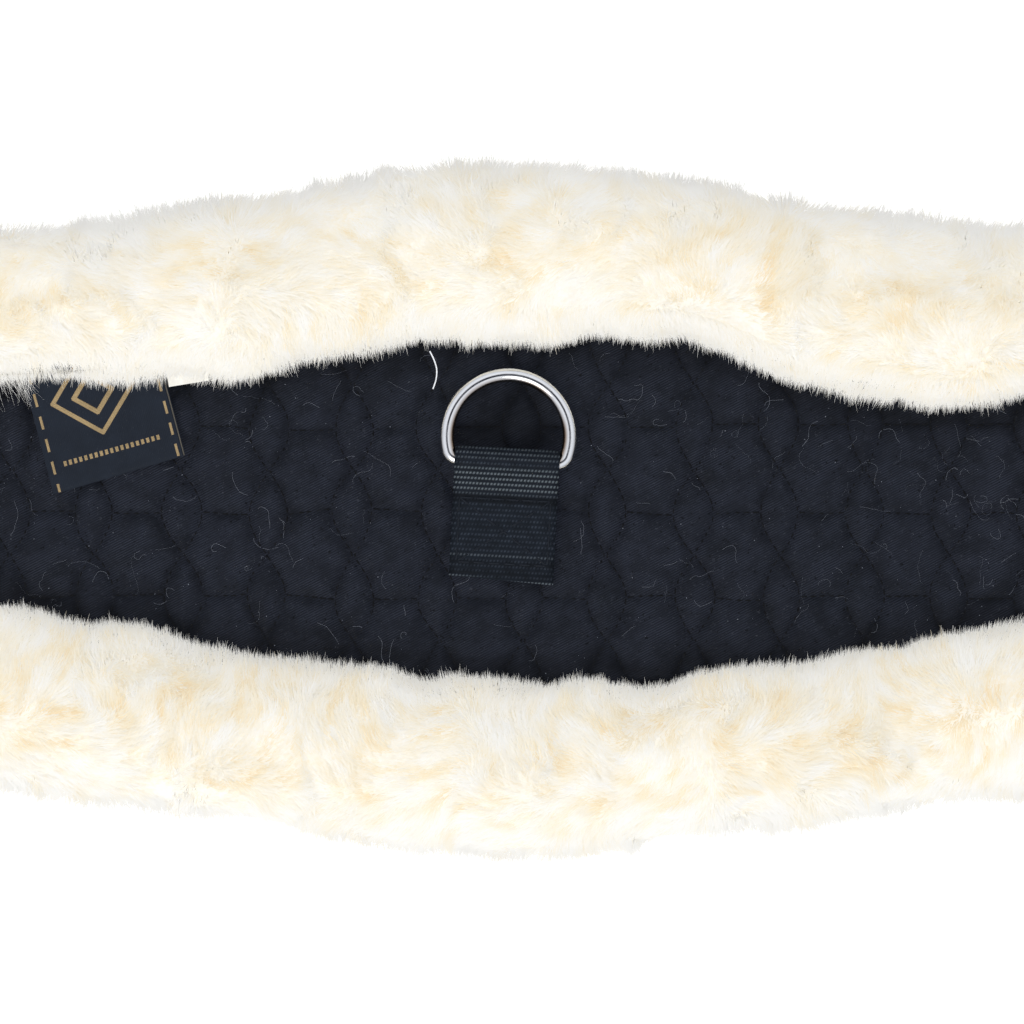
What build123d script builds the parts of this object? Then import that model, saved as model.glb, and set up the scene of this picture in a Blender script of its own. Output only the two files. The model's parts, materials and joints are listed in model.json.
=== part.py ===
"""Short anatomical saddle girth: quilted cotton pad, sheepskin lining that rolls over both long edges,
a steel D-ring at the centre, and two elastic straps with roller buckles at each end.

Frame, in millimetres: +X along the girth, +Y to its front edge, +Z up from the wool underside.
The origin is the middle of the wool's resting face, and the girth lies on its wool.
"""

import os
from math import asin, atan, cos, degrees, pi, radians, sin, sqrt

from build123d import *

# ---------------------------------------------------------------- driving dimensions, plan
BODY_HALF_LENGTH = 245.0
PANEL_HALF_WAIST = 32.0
PANEL_BULGE = 14.0
PANEL_END_RISE = 11.0
BULGE_HALF_LENGTH = 120.0
WOOL_HALF_WAIST = 67.0
WOOL_BULGE = 14.5
WOOL_END_FALL = 9.0
ROLL_OVERLAP = 7.5
ROLL_HALF_LENGTH = 229.0
ROLL_ROUND_END = 26.0
LINING_HALF_LENGTH = 236.8

# ---------------------------------------------------------------- driving dimensions, layers
WOOL_PILE = 20.0
HIDE_THICKNESS = 1.6
BACKING_THICKNESS = 0.6
WEB_THICKNESS = 2.0
STRAP_THICKNESS = 4.2
COVER_THICKNESS = 2.0
PATCH_THICKNESS = 1.4
TAPE_THICKNESS = 1.0
THREAD_HEIGHT = 0.3
THREAD_WIDTH = 0.7
GAP = 0.2

HIDE_Z = WOOL_PILE
BACKING_Z = HIDE_Z + HIDE_THICKNESS
WEB_Z = BACKING_Z + BACKING_THICKNESS
STRAP_Z = WEB_Z + WEB_THICKNESS
COVER_Z = STRAP_Z + STRAP_THICKNESS
TOP_Z = COVER_Z + COVER_THICKNESS
PATCH_TOP_Z = TOP_Z + PATCH_THICKNESS

# ---------------------------------------------------------------- driving dimensions, ends and straps
WEB_WIDTH = 50.0
STRAP_WIDTH = 30.0
STRAP_CENTRE_Y = 22.0
ROOT_LENGTH = 40.0
PATCH_LENGTH = 42.0
PATCH_HALF_WIDTH = 39.0
PATCH_CORNER = 9.0
TAPE_LEG = 8.0
STRAP_EXIT = 3.4
STRAP_RUN = 52.0
LOOP_TAPER = 10.0

# ---------------------------------------------------------------- driving dimensions, roller buckle
WIRE_RADIUS = 2.25
FRAME_LENGTH = 29.0
FRAME_WIDTH = 36.5
FRAME_CORNER = 3.0
LOOP_WALL = 2.1
RUNNING_GAP = 0.05
ROLLER_RADIUS = 3.5
ROLLER_GAP = 0.1
ROLLER_LENGTH = 29.6
TONGUE_RADIUS = 1.8
TONGUE_EYE_RADIUS = 4.1
TONGUE_EYE_WIDTH = 4.0
TONGUE_SLOT = 5.2
SLOT_BEHIND_BAR = 9.2
SLOT_AHEAD_OF_BAR = 5.3
TONGUE_REST_GAP = 0.3
TONGUE_OVERHANG = 4.5

# ---------------------------------------------------------------- driving dimensions, D-ring, tab and label
DRING_WIRE_RADIUS = 1.7
DRING_ARC_RADIUS = 14.35
DRING_CHORD_DROP = 5.7
DRING_CORNER = 2.4
DRING_LEAN = 3.0
DRING_TURN = -3.0
DRING_CENTRE_X = -1.75
DRING_BAR_Y = 11.95
TAB_WIDTH = 24.4
TAB_THICKNESS = 1.3
TAB_LOW_Y = -16.0
TAB_STITCH_Y = 3.5
TAB_STITCH_INSET = 1.6
TAB_EYE_FLARE = 0.85
LABEL_WIDTH = 32.0
LABEL_LENGTH = 35.0
LABEL_THICKNESS = 0.8
LABEL_TURN = 15.2
LABEL_CORNER = (-106.8, 4.1)
CARE_LABEL_WIDTH = 9.4
CARE_LABEL_LENGTH = 12.6
CARE_LABEL_TURN = 9.3
CARE_LABEL_CORNER = (-80.1, 29.2)
CARE_LABEL_THICKNESS = 0.4


# ---------------------------------------------------------------- plan curves
def bump(x):
    """1 at the girth's centre, falling smoothly to 0 where the belly bulge ends."""
    if abs(x) >= BULGE_HALF_LENGTH:
        return 0.0
    return cos(pi * x / (2 * BULGE_HALF_LENGTH)) ** 2


def ease(x, start, end):
    """0 up to start, 1 past end, smooth in between, the same on both sides of the centre."""
    t = min(max((abs(x) - start) / (end - start), 0.0), 1.0)
    return t * t * (3 - 2 * t)


def panel_half_width(x):
    return PANEL_HALF_WAIST + PANEL_BULGE * bump(x) + PANEL_END_RISE * ease(x, 128.0, 212.0)


def wool_half_width(x):
    return WOOL_HALF_WAIST + WOOL_BULGE * bump(x) - WOOL_END_FALL * ease(x, 120.0, 232.0)


def panel_face(half_length, grow=0.0):
    """The pad's plan outline, cut off square at half_length and grown outward by grow."""
    stations = 12
    xs = [half_length * i / stations for i in range(-stations, stations + 1)]
    front = Spline([(x, panel_half_width(x) + grow) for x in xs], tangents=[(1, 0), (1, 0)])
    rear = Spline([(x, -panel_half_width(x) - grow) for x in xs], tangents=[(1, 0), (1, 0)])
    ends = [Line(front @ i, rear @ i) for i in (0, 1)]
    return make_face([front, rear, *ends])


def layer(face, low_z, thickness):
    return Pos(0, 0, low_z) * extrude(face, thickness)


def on_both_ends(shape):
    """A shape made for the +X end, and its mirror image for the -X end."""
    return {"right": shape, "left": mirror(shape, Plane.YZ)}


def one_solid(shape):
    """The single solid that a chain of boolean operations leaves."""
    solids = shape.solids()
    assert len(solids) == 1, f"{len(solids)} solids where one is wanted"
    return solids[0]


# ---------------------------------------------------------------- the pad's layers
def strap_root(side_y, grow=0.0):
    """The sewn-in end of one elastic strap, between the load web and the cover."""
    length = ROOT_LENGTH + grow
    centre_x = BODY_HALF_LENGTH - length / 2 + STRAP_EXIT - 2.5 + grow
    box = Box(length, STRAP_WIDTH + 2 * grow, STRAP_THICKNESS)
    return Pos(centre_x, side_y, STRAP_Z + STRAP_THICKNESS / 2) * box


def foam_pad(web, roots):
    """Foam between backing and cover, with a groove for the load web and pockets for the strap ends."""
    foam = layer(panel_face(BODY_HALF_LENGTH), WEB_Z, COVER_Z - WEB_Z)
    return foam - [web, *roots]


def end_patch():
    """Smooth synthetic-leather patch sewn across the pad's +X end, over the strap ends."""
    plan = RectangleRounded(PATCH_LENGTH * 2, PATCH_HALF_WIDTH * 2, PATCH_CORNER)
    plan &= Pos(-PATCH_LENGTH / 2, 0) * Rectangle(PATCH_LENGTH, PATCH_HALF_WIDTH * 2)
    return layer(Pos(BODY_HALF_LENGTH, 0) * plan, TOP_Z, PATCH_THICKNESS)


def end_binding():
    """Folded tape that closes the pad's +X end, with a slot for each strap to pass through."""
    half_width = panel_half_width(BODY_HALF_LENGTH)
    low, high = HIDE_Z - TAPE_THICKNESS, PATCH_TOP_Z + TAPE_THICKNESS
    outer = Box(TAPE_LEG + TAPE_THICKNESS, 2 * half_width, high - low)
    inner = Box(TAPE_LEG, 3 * half_width, PATCH_TOP_Z - HIDE_Z)
    middle = (low + high) / 2
    tape = Pos(BODY_HALF_LENGTH + (TAPE_THICKNESS - TAPE_LEG) / 2, 0, middle) * outer
    tape -= Pos(BODY_HALF_LENGTH - TAPE_LEG / 2, 0, middle) * inner
    for side_y in (-STRAP_CENTRE_Y, STRAP_CENTRE_Y):
        slot = Box(3 * TAPE_THICKNESS, STRAP_WIDTH + 2 * GAP, STRAP_THICKNESS + 2 * GAP)
        tape -= Pos(BODY_HALF_LENGTH, side_y, STRAP_Z + STRAP_THICKNESS / 2) * slot
    # The patch stops short of the pad's edge, so the tape is closed down onto the cover there.
    for side in (-1, 1):
        width = half_width - PATCH_HALF_WIDTH
        filler = Box(TAPE_LEG, width, PATCH_THICKNESS)
        centre_y = side * (half_width + PATCH_HALF_WIDTH) / 2
        tape += Pos(BODY_HALF_LENGTH - TAPE_LEG / 2, centre_y, TOP_Z + PATCH_THICKNESS / 2) * filler
    return tape


def box_and_cross(length, width):
    """Plan of a sewn box with a cross in it, as one connected thread line."""
    plan = Rectangle(length, width) - Rectangle(length - 2 * THREAD_WIDTH, width - 2 * THREAD_WIDTH)
    diagonal = sqrt(length**2 + width**2) - 2 * THREAD_WIDTH
    lean = degrees(atan(width / length))
    for angle in (-lean, lean):
        plan += Rot(0, 0, angle) * Rectangle(diagonal, THREAD_WIDTH)
    return plan


def patch_stitching():
    """Thread of the two sewn boxes that hold the +X end's straps."""
    length, width = 26.0, STRAP_WIDTH - 5.0
    centre_x = BODY_HALF_LENGTH - TAPE_LEG - 3.0 - length / 2
    boxes = [Pos(centre_x, y) * box_and_cross(length, width) for y in (-STRAP_CENTRE_Y, STRAP_CENTRE_Y)]
    return Compound([layer(box, PATCH_TOP_Z, THREAD_HEIGHT).solid() for box in boxes])


# ---------------------------------------------------------------- wool
def roll_section(x, side):
    """The wool roll's cross-section at x, an oval that stands on the resting plane."""
    inner = panel_half_width(x) - ROLL_OVERLAP
    outer = wool_half_width(x)
    half_width = (outer - inner) / 2
    half_height = 17.8 + 3.2 * (1 - ease(x, 130.0, 225.0))
    past = max(abs(x) - (ROLL_HALF_LENGTH - ROLL_ROUND_END), 0.0) / ROLL_ROUND_END
    shrink = sqrt(max(1 - past**2, 0.0))
    plane = Plane(origin=(x, side * (inner + outer) / 2, half_height), x_dir=(0, 1, 0), z_dir=(1, 0, 0))
    return plane * Ellipse(half_width * shrink, half_height * shrink)


def wool_roll(side, cutters):
    """The fleece that rolls over one long edge of the pad."""
    straight = ROLL_HALF_LENGTH - ROLL_ROUND_END
    middle = [straight * i / 9 for i in range(10)]
    tail = [straight + ROLL_ROUND_END * sin(radians(a)) for a in (28, 48, 66, 80)]
    half = middle + tail
    xs = [-x for x in reversed(half[1:])] + half
    roll = loft([roll_section(x, side) for x in xs])
    for cutter in cutters:
        roll -= cutter
    return roll


# ---------------------------------------------------------------- D-ring, tab and label
DRING_BAR_Z = TOP_Z + TAB_THICKNESS + DRING_WIRE_RADIUS + RUNNING_GAP


def turned_with_tab(shape):
    """Carries a shape from the tab's own axes to its slightly crooked place on the pad."""
    return Pos(DRING_CENTRE_X, 0, 0) * Rot(0, 0, DRING_TURN) * shape


def d_ring():
    plan = Circle(DRING_ARC_RADIUS)
    size = 2 * DRING_ARC_RADIUS
    plan -= Pos(0, -DRING_CHORD_DROP - size / 2) * Rectangle(2 * size, size)
    low = plan.vertices().group_by(Axis.Y)[0]
    plan = fillet(low, DRING_CORNER)
    path = Pos(0, DRING_CHORD_DROP) * plan.face().outer_wire()
    start = Plane(origin=path @ 0, z_dir=path % 0)
    ring = sweep(start * Circle(DRING_WIRE_RADIUS), path)
    ring = Pos(0, DRING_BAR_Y, DRING_BAR_Z) * Rot(-DRING_LEAN, 0, 0) * ring
    return turned_with_tab(ring)


def ring_tab():
    """Webbing folded round the ring's straight bar and sewn to itself and to the pad."""
    outer_radius = DRING_BAR_Z - TOP_Z
    inner_radius = DRING_WIRE_RADIUS + RUNNING_GAP
    middle_z = TOP_Z + TAB_THICKNESS
    flat_length = TAB_STITCH_Y - TAB_LOW_Y
    flat = Pos(TAB_STITCH_Y - flat_length / 2, middle_z) * Rectangle(flat_length, 2 * TAB_THICKNESS)
    throat = Pos(TAB_STITCH_Y - 0.5, middle_z) * Rectangle(1.0, 2 * TAB_THICKNESS)
    eye = Pos(DRING_BAR_Y, DRING_BAR_Z) * Circle(outer_radius)
    hole = Pos(DRING_BAR_Y, DRING_BAR_Z) * Circle(inner_radius)
    tip = Pos(TAB_STITCH_Y + 2.0, middle_z + 0.1) * Circle(0.1)
    profile = flat + make_hull((throat + eye).edges()) - make_hull((hole + tip).edges())
    side_on = Plane(origin=(0, 0, 0), x_dir=(0, 1, 0), z_dir=(1, 0, 0))
    tab = extrude(side_on * profile, TAB_WIDTH / 2, both=True)
    # The eye opens out at both edges, where the ring's corners begin.
    for side in (-1, 1):
        flare = Cone(inner_radius, inner_radius + 2 * TAB_EYE_FLARE, 2 * TAB_EYE_FLARE)
        tab -= Pos(side * TAB_WIDTH / 2, DRING_BAR_Y, DRING_BAR_Z) * Rot(0, side * 90, 0) * flare
    return turned_with_tab(tab)


def tab_stitching():
    length = TAB_STITCH_Y - TAB_LOW_Y - 2 * TAB_STITCH_INSET
    width = TAB_WIDTH - 2 * TAB_STITCH_INSET
    plan = Pos(0, (TAB_STITCH_Y + TAB_LOW_Y) / 2) * Rot(0, 0, 90) * box_and_cross(length, width)
    return turned_with_tab(layer(plan, TOP_Z + 2 * TAB_THICKNESS, THREAD_HEIGHT))


def label(width, length, thickness, turn, corner, grow):
    """A flat label on the cover, turned about its free corner. Grow widens it all round, for its cutter."""
    plan = Pos(width / 2, length / 2) * Rectangle(width + 2 * grow, length + 2 * grow)
    return Pos(corner[0], corner[1]) * Rot(0, 0, turn) * layer(plan, TOP_Z, thickness + grow)


def woven_label(grow=0.0):
    """Folded woven label, sewn in under the front roll and lying slanted on the pad."""
    return label(LABEL_WIDTH, LABEL_LENGTH, LABEL_THICKNESS, LABEL_TURN, LABEL_CORNER, grow)


def care_label(grow=0.0):
    """Small plain tape beside the woven label, mostly hidden under the front roll."""
    return label(
        CARE_LABEL_WIDTH, CARE_LABEL_LENGTH, CARE_LABEL_THICKNESS, CARE_LABEL_TURN, CARE_LABEL_CORNER, grow
    )


# ---------------------------------------------------------------- straps and buckles, made for +X and +Y
HINGE_X = BODY_HALF_LENGTH + STRAP_EXIT
HINGE_Z = STRAP_Z + STRAP_THICKNESS / 2
BAR_Z = WIRE_RADIUS + RUNNING_GAP + LOOP_WALL + GAP
LOOP_X = HINGE_X + STRAP_RUN
BAR_X = LOOP_X + LOOP_TAPER
FRONT_BAR_X = BAR_X + FRAME_LENGTH
FROM_THE_SIDE = Plane(origin=(0, STRAP_CENTRE_Y, 0), x_dir=(1, 0, 0), z_dir=(0, -1, 0))


def sideways(profile, width):
    """A profile drawn in X and Z, given width across the strap."""
    return extrude(FROM_THE_SIDE * profile, width / 2, both=True)


def elastic():
    """The free stretch of doubled elastic, which droops in an S from the pad's end to the resting plane."""
    drop = HINGE_Z - BAR_Z
    turn = 2 * atan(drop / STRAP_RUN)
    radius = STRAP_RUN / (2 * sin(turn))
    half = STRAP_THICKNESS / 2
    first, second = (HINGE_X, HINGE_Z - radius), (LOOP_X, BAR_Z + radius)
    angle = degrees(turn)
    edges = []
    for shift in (half, -half):
        upper = CenterArc(first, radius + shift, 90, -angle)
        lower = CenterArc(second, radius - shift, 270 - angle, angle)
        edges += [upper, lower]
    edges.append(Line(edges[0] @ 0, edges[2] @ 0))
    edges.append(Line(edges[1] @ 1, edges[3] @ 1))
    profile = make_face(edges)
    profile += Pos(HINGE_X, HINGE_Z) * Circle(half)
    return sideways(profile, STRAP_WIDTH)


def strap_loop():
    """The fold of the elastic round the buckle's rear bar, slotted in the middle for the tongue."""
    half = STRAP_THICKNESS / 2
    bar_radius = WIRE_RADIUS + RUNNING_GAP
    ring = Pos(BAR_X, BAR_Z) * Circle(bar_radius + LOOP_WALL)
    neck = Pos(LOOP_X + 0.2, BAR_Z) * Rectangle(0.4, 2 * half)
    profile = make_hull((ring + neck).edges()) - Pos(BAR_X, BAR_Z) * Circle(bar_radius)
    slot = Box(SLOT_BEHIND_BAR + SLOT_AHEAD_OF_BAR, TONGUE_SLOT, 30)
    slot_x = BAR_X + (SLOT_AHEAD_OF_BAR - SLOT_BEHIND_BAR) / 2
    return sideways(profile, STRAP_WIDTH) - Pos(slot_x, STRAP_CENTRE_Y, BAR_Z) * slot


def buckle_frame():
    outline = RectangleRounded(FRAME_LENGTH, FRAME_WIDTH, FRAME_CORNER).face().outer_wire()
    path = Pos((BAR_X + FRONT_BAR_X) / 2, STRAP_CENTRE_Y, BAR_Z) * outline
    start = Plane(origin=path @ 0, z_dir=path % 0)
    return sweep(start * Circle(WIRE_RADIUS), path)


def buckle_roller():
    profile = Circle(ROLLER_RADIUS) - Circle(WIRE_RADIUS + ROLLER_GAP)
    return sideways(Pos(FRONT_BAR_X, BAR_Z) * profile, ROLLER_LENGTH)


def buckle_tongue():
    """A bent wire tongue with an eye round the rear bar, its tip resting just over the roller."""
    eye = Circle(TONGUE_EYE_RADIUS) - Circle(WIRE_RADIUS + ROLLER_GAP)
    tongue = sideways(Pos(BAR_X, BAR_Z) * eye, TONGUE_EYE_WIDTH)
    over = ROLLER_RADIUS + TONGUE_RADIUS + TONGUE_REST_GAP
    start = (BAR_X + 3.2, BAR_Z + 0.6)
    crest = (FRONT_BAR_X - 2.0, BAR_Z + over + 0.15)
    tip = (FRONT_BAR_X + TONGUE_OVERHANG, BAR_Z + over - 0.9)
    line = FROM_THE_SIDE * Spline([start, crest, tip], tangents=[(1, 0.45), (1, -0.35)])
    rod = sweep(Plane(origin=line @ 0, z_dir=line % 0) * Circle(TONGUE_RADIUS), line)
    tongue += rod
    tongue += Pos(*(line @ 1)) * Sphere(TONGUE_RADIUS)
    bar_hole = sideways(Pos(BAR_X, BAR_Z) * Circle(WIRE_RADIUS + ROLLER_GAP), 2 * TONGUE_EYE_WIDTH)
    return tongue - bar_hole


# ---------------------------------------------------------------- assembly
def pad_parts():
    web = Pos(0, 0, WEB_Z + WEB_THICKNESS / 2) * Box(2 * BODY_HALF_LENGTH - 2, WEB_WIDTH, WEB_THICKNESS)
    roots = {}
    for row, side_y in (("front", STRAP_CENTRE_Y), ("rear", -STRAP_CENTRE_Y)):
        for end, root in on_both_ends(strap_root(side_y)).items():
            roots[f"{end}_{row}_elastic_root"] = root
    panel = panel_face(BODY_HALF_LENGTH)
    parts = {
        "wool_lining": layer(panel_face(LINING_HALF_LENGTH), 0, WOOL_PILE),
        "sheepskin_hide": layer(panel, HIDE_Z, HIDE_THICKNESS),
        "quilt_backing": layer(panel, BACKING_Z, BACKING_THICKNESS),
        "load_web": web,
        "foam_pad": foam_pad(web, roots.values()),
        "quilted_cover": layer(panel, COVER_Z, COVER_THICKNESS),
        "d_ring_tab": ring_tab(),
        "d_ring_tab_stitching": tab_stitching(),
        "woven_label": woven_label(),
        "care_label": care_label(),
        **roots,
    }
    for end, patch in on_both_ends(end_patch()).items():
        parts[f"{end}_end_patch"] = patch
    for end, binding in on_both_ends(end_binding()).items():
        parts[f"{end}_end_binding"] = binding
    for end, thread in on_both_ends(patch_stitching()).items():
        parts[f"{end}_end_stitching"] = thread
    pad_space = layer(panel_face(BODY_HALF_LENGTH, GAP), -1, TOP_Z + 1.1)
    labels = [woven_label(GAP), care_label(GAP)]
    cutters = [pad_space, *labels, parts["left_end_patch"], parts["right_end_patch"]]
    parts["wool_roll_front"] = wool_roll(1, cutters)
    parts["wool_roll_rear"] = wool_roll(-1, cutters)
    return parts


def strap_parts():
    made = {
        "elastic": elastic(),
        "elastic_loop": strap_loop(),
        "buckle_frame": buckle_frame(),
        "buckle_roller": buckle_roller(),
        "buckle_tongue": buckle_tongue(),
    }
    parts = {}
    for name, shape in made.items():
        for row, placed in (("front", shape), ("rear", mirror(shape, Plane.XZ))):
            for end, part in on_both_ends(placed).items():
                parts[f"{end}_{row}_{name}"] = part
    return parts


def main():
    os.makedirs("parts", exist_ok=True)
    parts = {**pad_parts(), **strap_parts(), "d_ring": d_ring()}
    for name, shape in parts.items():
        if "stitching" not in name:
            shape = one_solid(shape)
        export_step(shape, f"parts/{name}.step")
    print("hinge", HINGE_X, HINGE_Z, "bar", BAR_X, BAR_Z, "front bar", FRONT_BAR_X, "d-ring bar", DRING_BAR_Z)


main()
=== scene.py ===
"""Looks of the saddle girth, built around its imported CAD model.

Lengths named here are in millimetres, and become metres where a mesh is made.
The frame is the CAD's: +X along the girth, +Y towards the edge the D-ring points to, +Z up.
"""

import json
import math

import bpy
import numpy as np
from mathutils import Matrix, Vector


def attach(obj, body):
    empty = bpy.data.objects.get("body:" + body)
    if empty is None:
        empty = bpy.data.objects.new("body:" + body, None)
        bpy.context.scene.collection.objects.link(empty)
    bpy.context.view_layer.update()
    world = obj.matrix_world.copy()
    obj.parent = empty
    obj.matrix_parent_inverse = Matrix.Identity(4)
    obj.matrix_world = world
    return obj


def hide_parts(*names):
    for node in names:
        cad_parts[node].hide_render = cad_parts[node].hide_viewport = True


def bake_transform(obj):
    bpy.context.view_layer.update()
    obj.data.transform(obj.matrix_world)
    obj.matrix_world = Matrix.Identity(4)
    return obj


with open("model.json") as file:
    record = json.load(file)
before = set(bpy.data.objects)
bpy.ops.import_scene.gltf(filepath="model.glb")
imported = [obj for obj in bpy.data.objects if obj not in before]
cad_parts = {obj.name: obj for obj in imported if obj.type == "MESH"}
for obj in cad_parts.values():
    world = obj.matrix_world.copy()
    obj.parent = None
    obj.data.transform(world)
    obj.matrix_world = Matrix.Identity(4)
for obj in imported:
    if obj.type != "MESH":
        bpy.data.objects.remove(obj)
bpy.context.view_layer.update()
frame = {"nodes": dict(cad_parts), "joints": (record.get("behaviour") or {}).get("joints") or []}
MM = 0.001
JOINTS = {j["name"]: j for j in frame["joints"]}
CAD = {
    name: np.array([v.co for v in node.data.vertices], float) / MM
    for name, node in frame["nodes"].items()
}
ENDS = {"right": 1, "left": -1}
ROWS = {"front": 1, "rear": -1}


def low(node):
    return CAD[node].min(0)


def high(node):
    return CAD[node].max(0)


# ------------------------------------------------------------------ sizes the frame gives
TOP = high("quilted_cover")[2]
PATCH_TOP = high("left_end_patch")[2]
PAD_END = high("quilted_cover")[0]
LINING_END = high("wool_lining")[0]
ROLL_END = high("wool_roll_front")[0]
HIDE_LOW = low("sheepskin_hide")[2]
STRAP_LOW, STRAP_HIGH = low("right_front_elastic_root")[2], high("right_front_elastic_root")[2]
STRAP_HALF_WIDTH = (high("right_front_elastic")[1] - low("right_front_elastic")[1]) / 2
RING_PIVOT = np.array(JOINTS["d_ring_pivot"]["pos_m"]) / MM
TAB_ACROSS = np.array(JOINTS["d_ring_pivot"]["axis"])
TAB_ALONG = np.array([-TAB_ACROSS[1], TAB_ACROSS[0], 0.0])

# ------------------------------------------------------------------ the CAD's plan curves
BULGE_HALF_LENGTH = 120.0
RING_WIRE = 1.7
RING_ARC = 14.35
RING_DROP = 5.7
RING_FILLET = 2.4
ROLL_OVERLAP = 7.5
ROLL_ROUND_END = 26.0
QUILT_END = (186.0, 200.0)  # the quilting fades out between these, under the end patches


def ease(x, start, end):
    t = np.clip((np.abs(x) - start) / (end - start), 0, 1)
    return t * t * (3 - 2 * t)


def bump(x):
    inside = np.abs(x) < BULGE_HALF_LENGTH
    return np.where(inside, np.cos(np.pi * x / (2 * BULGE_HALF_LENGTH)) ** 2, 0.0)


def panel_half_width(x):
    return 32.0 + 14.0 * bump(x) + 11.0 * ease(x, 128.0, 212.0)


def wool_half_width(x):
    return 67.0 + 14.5 * bump(x) - 9.0 * ease(x, 120.0, 232.0)


def past_round(x):
    """0 along a wool roll, rising to 1 over its rounded end."""
    return np.clip((np.abs(x) - (ROLL_END - ROLL_ROUND_END)) / ROLL_ROUND_END, 0, 1)


def roll_section(x):
    """Centre Y, centre height and the two half-axes of a wool roll's oval at x."""
    inner = panel_half_width(x) - ROLL_OVERLAP
    outer = wool_half_width(x)
    shrink = np.sqrt(1 - past_round(x) ** 2)
    half_height = 17.8 + 3.2 * (1 - ease(x, 130.0, 225.0))
    return (inner + outer) / 2, half_height, (outer - inner) / 2 * shrink, half_height * shrink


# ------------------------------------------------------------------ noise and vectors
def unit(v):
    return v / np.maximum(np.linalg.norm(v, axis=-1, keepdims=True), 1e-12)


def noise(points, size, seed):
    """Smooth noise from -1 to 1 at points, with features of that size; the same for a seed every time."""
    p = np.asarray(points, float) / size
    cell = np.floor(p).astype(np.int64)
    f = p - cell
    u = f * f * f * (f * (f * 6 - 15) + 10)
    total = np.zeros(len(p))
    for corner in np.ndindex(2, 2, 2):
        c = (cell + corner).astype(np.uint64)
        h = c[:, 0] * np.uint64(73856093) ^ c[:, 1] * np.uint64(19349663) ^ c[:, 2] * np.uint64(83492791)
        h = (h ^ np.uint64(seed * 2654435761 % 2**32)) * np.uint64(0x9E3779B97F4A7C15)
        h ^= h >> np.uint64(29)
        h = h * np.uint64(0xBF58476D1CE4E5B9)
        value = (h >> np.uint64(40)).astype(float) / 2**23 - 1
        total += np.prod(np.where(corner, u, 1 - u), axis=1) * value
    return total


def noise_vector(points, size, seed):
    return np.stack([noise(points, size, seed + i) for i in range(3)], axis=1)


# ------------------------------------------------------------------ mesh making
def new_object(name, mesh, body="pad", replaces=()):
    obj = bpy.data.objects.new(name, mesh)
    bpy.context.scene.collection.objects.link(obj)
    if body:
        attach(obj, body)
    if replaces:
        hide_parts(*replaces)
    return obj


def big_mesh(name, verts, quads, materials, tones=None):
    """A mesh straight from arrays of points in mm and of four-cornered faces."""
    mesh = bpy.data.meshes.new(name)
    quads = np.asarray(quads, np.int32)
    count = len(quads)
    mesh.vertices.add(len(verts))
    mesh.vertices.foreach_set("co", (np.asarray(verts) * MM).astype(np.float32).ravel())
    mesh.loops.add(count * 4)
    mesh.polygons.add(count)
    mesh.polygons.foreach_set("loop_start", np.arange(0, count * 4, 4, dtype=np.int32))
    mesh.loops.foreach_set("vertex_index", quads.ravel())
    for m in materials:
        mesh.materials.append(m)
    if tones is not None:
        mesh.polygons.foreach_set("material_index", np.asarray(tones, np.int32))
    mesh.polygons.foreach_set("use_smooth", np.ones(count, bool))
    mesh.update(calc_edges=True)
    return mesh


def paint(mesh, name, amount):
    """Stores a 0 to 1 amount for each point, for the material to read."""
    layer = mesh.color_attributes.new(name, "FLOAT_COLOR", "POINT")
    colour = np.column_stack([amount, amount, amount, np.ones_like(amount)])
    layer.data.foreach_set("color", colour.astype(np.float32).ravel())


class Shape:
    """Collects points in mm and faces, then becomes one mesh."""

    def __init__(self):
        self.verts, self.faces, self.tones, self.count = [], [], [], 0

    def add(self, verts, faces, tone=0):
        verts = np.asarray(verts, float).reshape(-1, 3)
        self.verts.append(verts)
        self.faces += [tuple(int(i) + self.count for i in f) for f in faces]
        self.tones += [tone] * len(faces)
        self.count += len(verts)

    def mesh(self, name, materials):
        mesh = bpy.data.meshes.new(name)
        points = np.concatenate(self.verts) * MM
        mesh.from_pydata(points.tolist(), [], self.faces)
        for m in materials:
            mesh.materials.append(m)
        mesh.polygons.foreach_set("material_index", self.tones)
        mesh.polygons.foreach_set("use_smooth", [True] * len(mesh.polygons))
        mesh.validate()
        mesh.update()
        return mesh

    def become(self, name, material, body="pad", replaces=()):
        """Makes everything collected one piece, which rides on that body."""
        return new_object(name, self.mesh(name, [material]), body, replaces)


def turned(faces, inside_out):
    """The faces as they are, or each the other way round."""
    return [f[::-1] for f in faces] if inside_out else faces


def grid_faces(rows, columns, wrap_rows=False, wrap_columns=False):
    """Quads of a grid of points stored row by row."""
    r = np.arange(rows if wrap_rows else rows - 1)
    c = np.arange(columns if wrap_columns else columns - 1)
    r, c = (a.ravel() for a in np.meshgrid(r, c, indexing="ij"))
    r2, c2 = (r + 1) % rows, (c + 1) % columns
    return np.stack([r * columns + c, r * columns + c2, r2 * columns + c2, r2 * columns + c], axis=1)


def tube(path, radius, sides=16, closed=False, up=(0, 0, 1)):
    """Points and faces of a round bar along path. Radius is a number or one for each point."""
    path = np.asarray(path, float)
    n = len(path)
    ahead = unit(np.roll(path, -1, 0) - np.roll(path, 1, 0) if closed else np.gradient(path, axis=0))
    side = unit(np.cross(ahead, np.asarray(up, float)))
    over = np.cross(side, ahead)
    radius = np.broadcast_to(np.asarray(radius, float), (n,))
    angle = np.arange(sides) * 2 * np.pi / sides
    ring = np.cos(angle)[None, :, None] * side[:, None, :]
    ring = ring + np.sin(angle)[None, :, None] * over[:, None, :]
    verts = path[:, None, :] + ring * radius[:, None, None]
    faces = [tuple(f) for f in grid_faces(n, sides, wrap_rows=closed, wrap_columns=True)]
    if not closed:
        faces.append(tuple(range(sides)))
        faces.append(tuple(reversed(range((n - 1) * sides, n * sides))))
    return verts.reshape(-1, 3), faces


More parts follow.
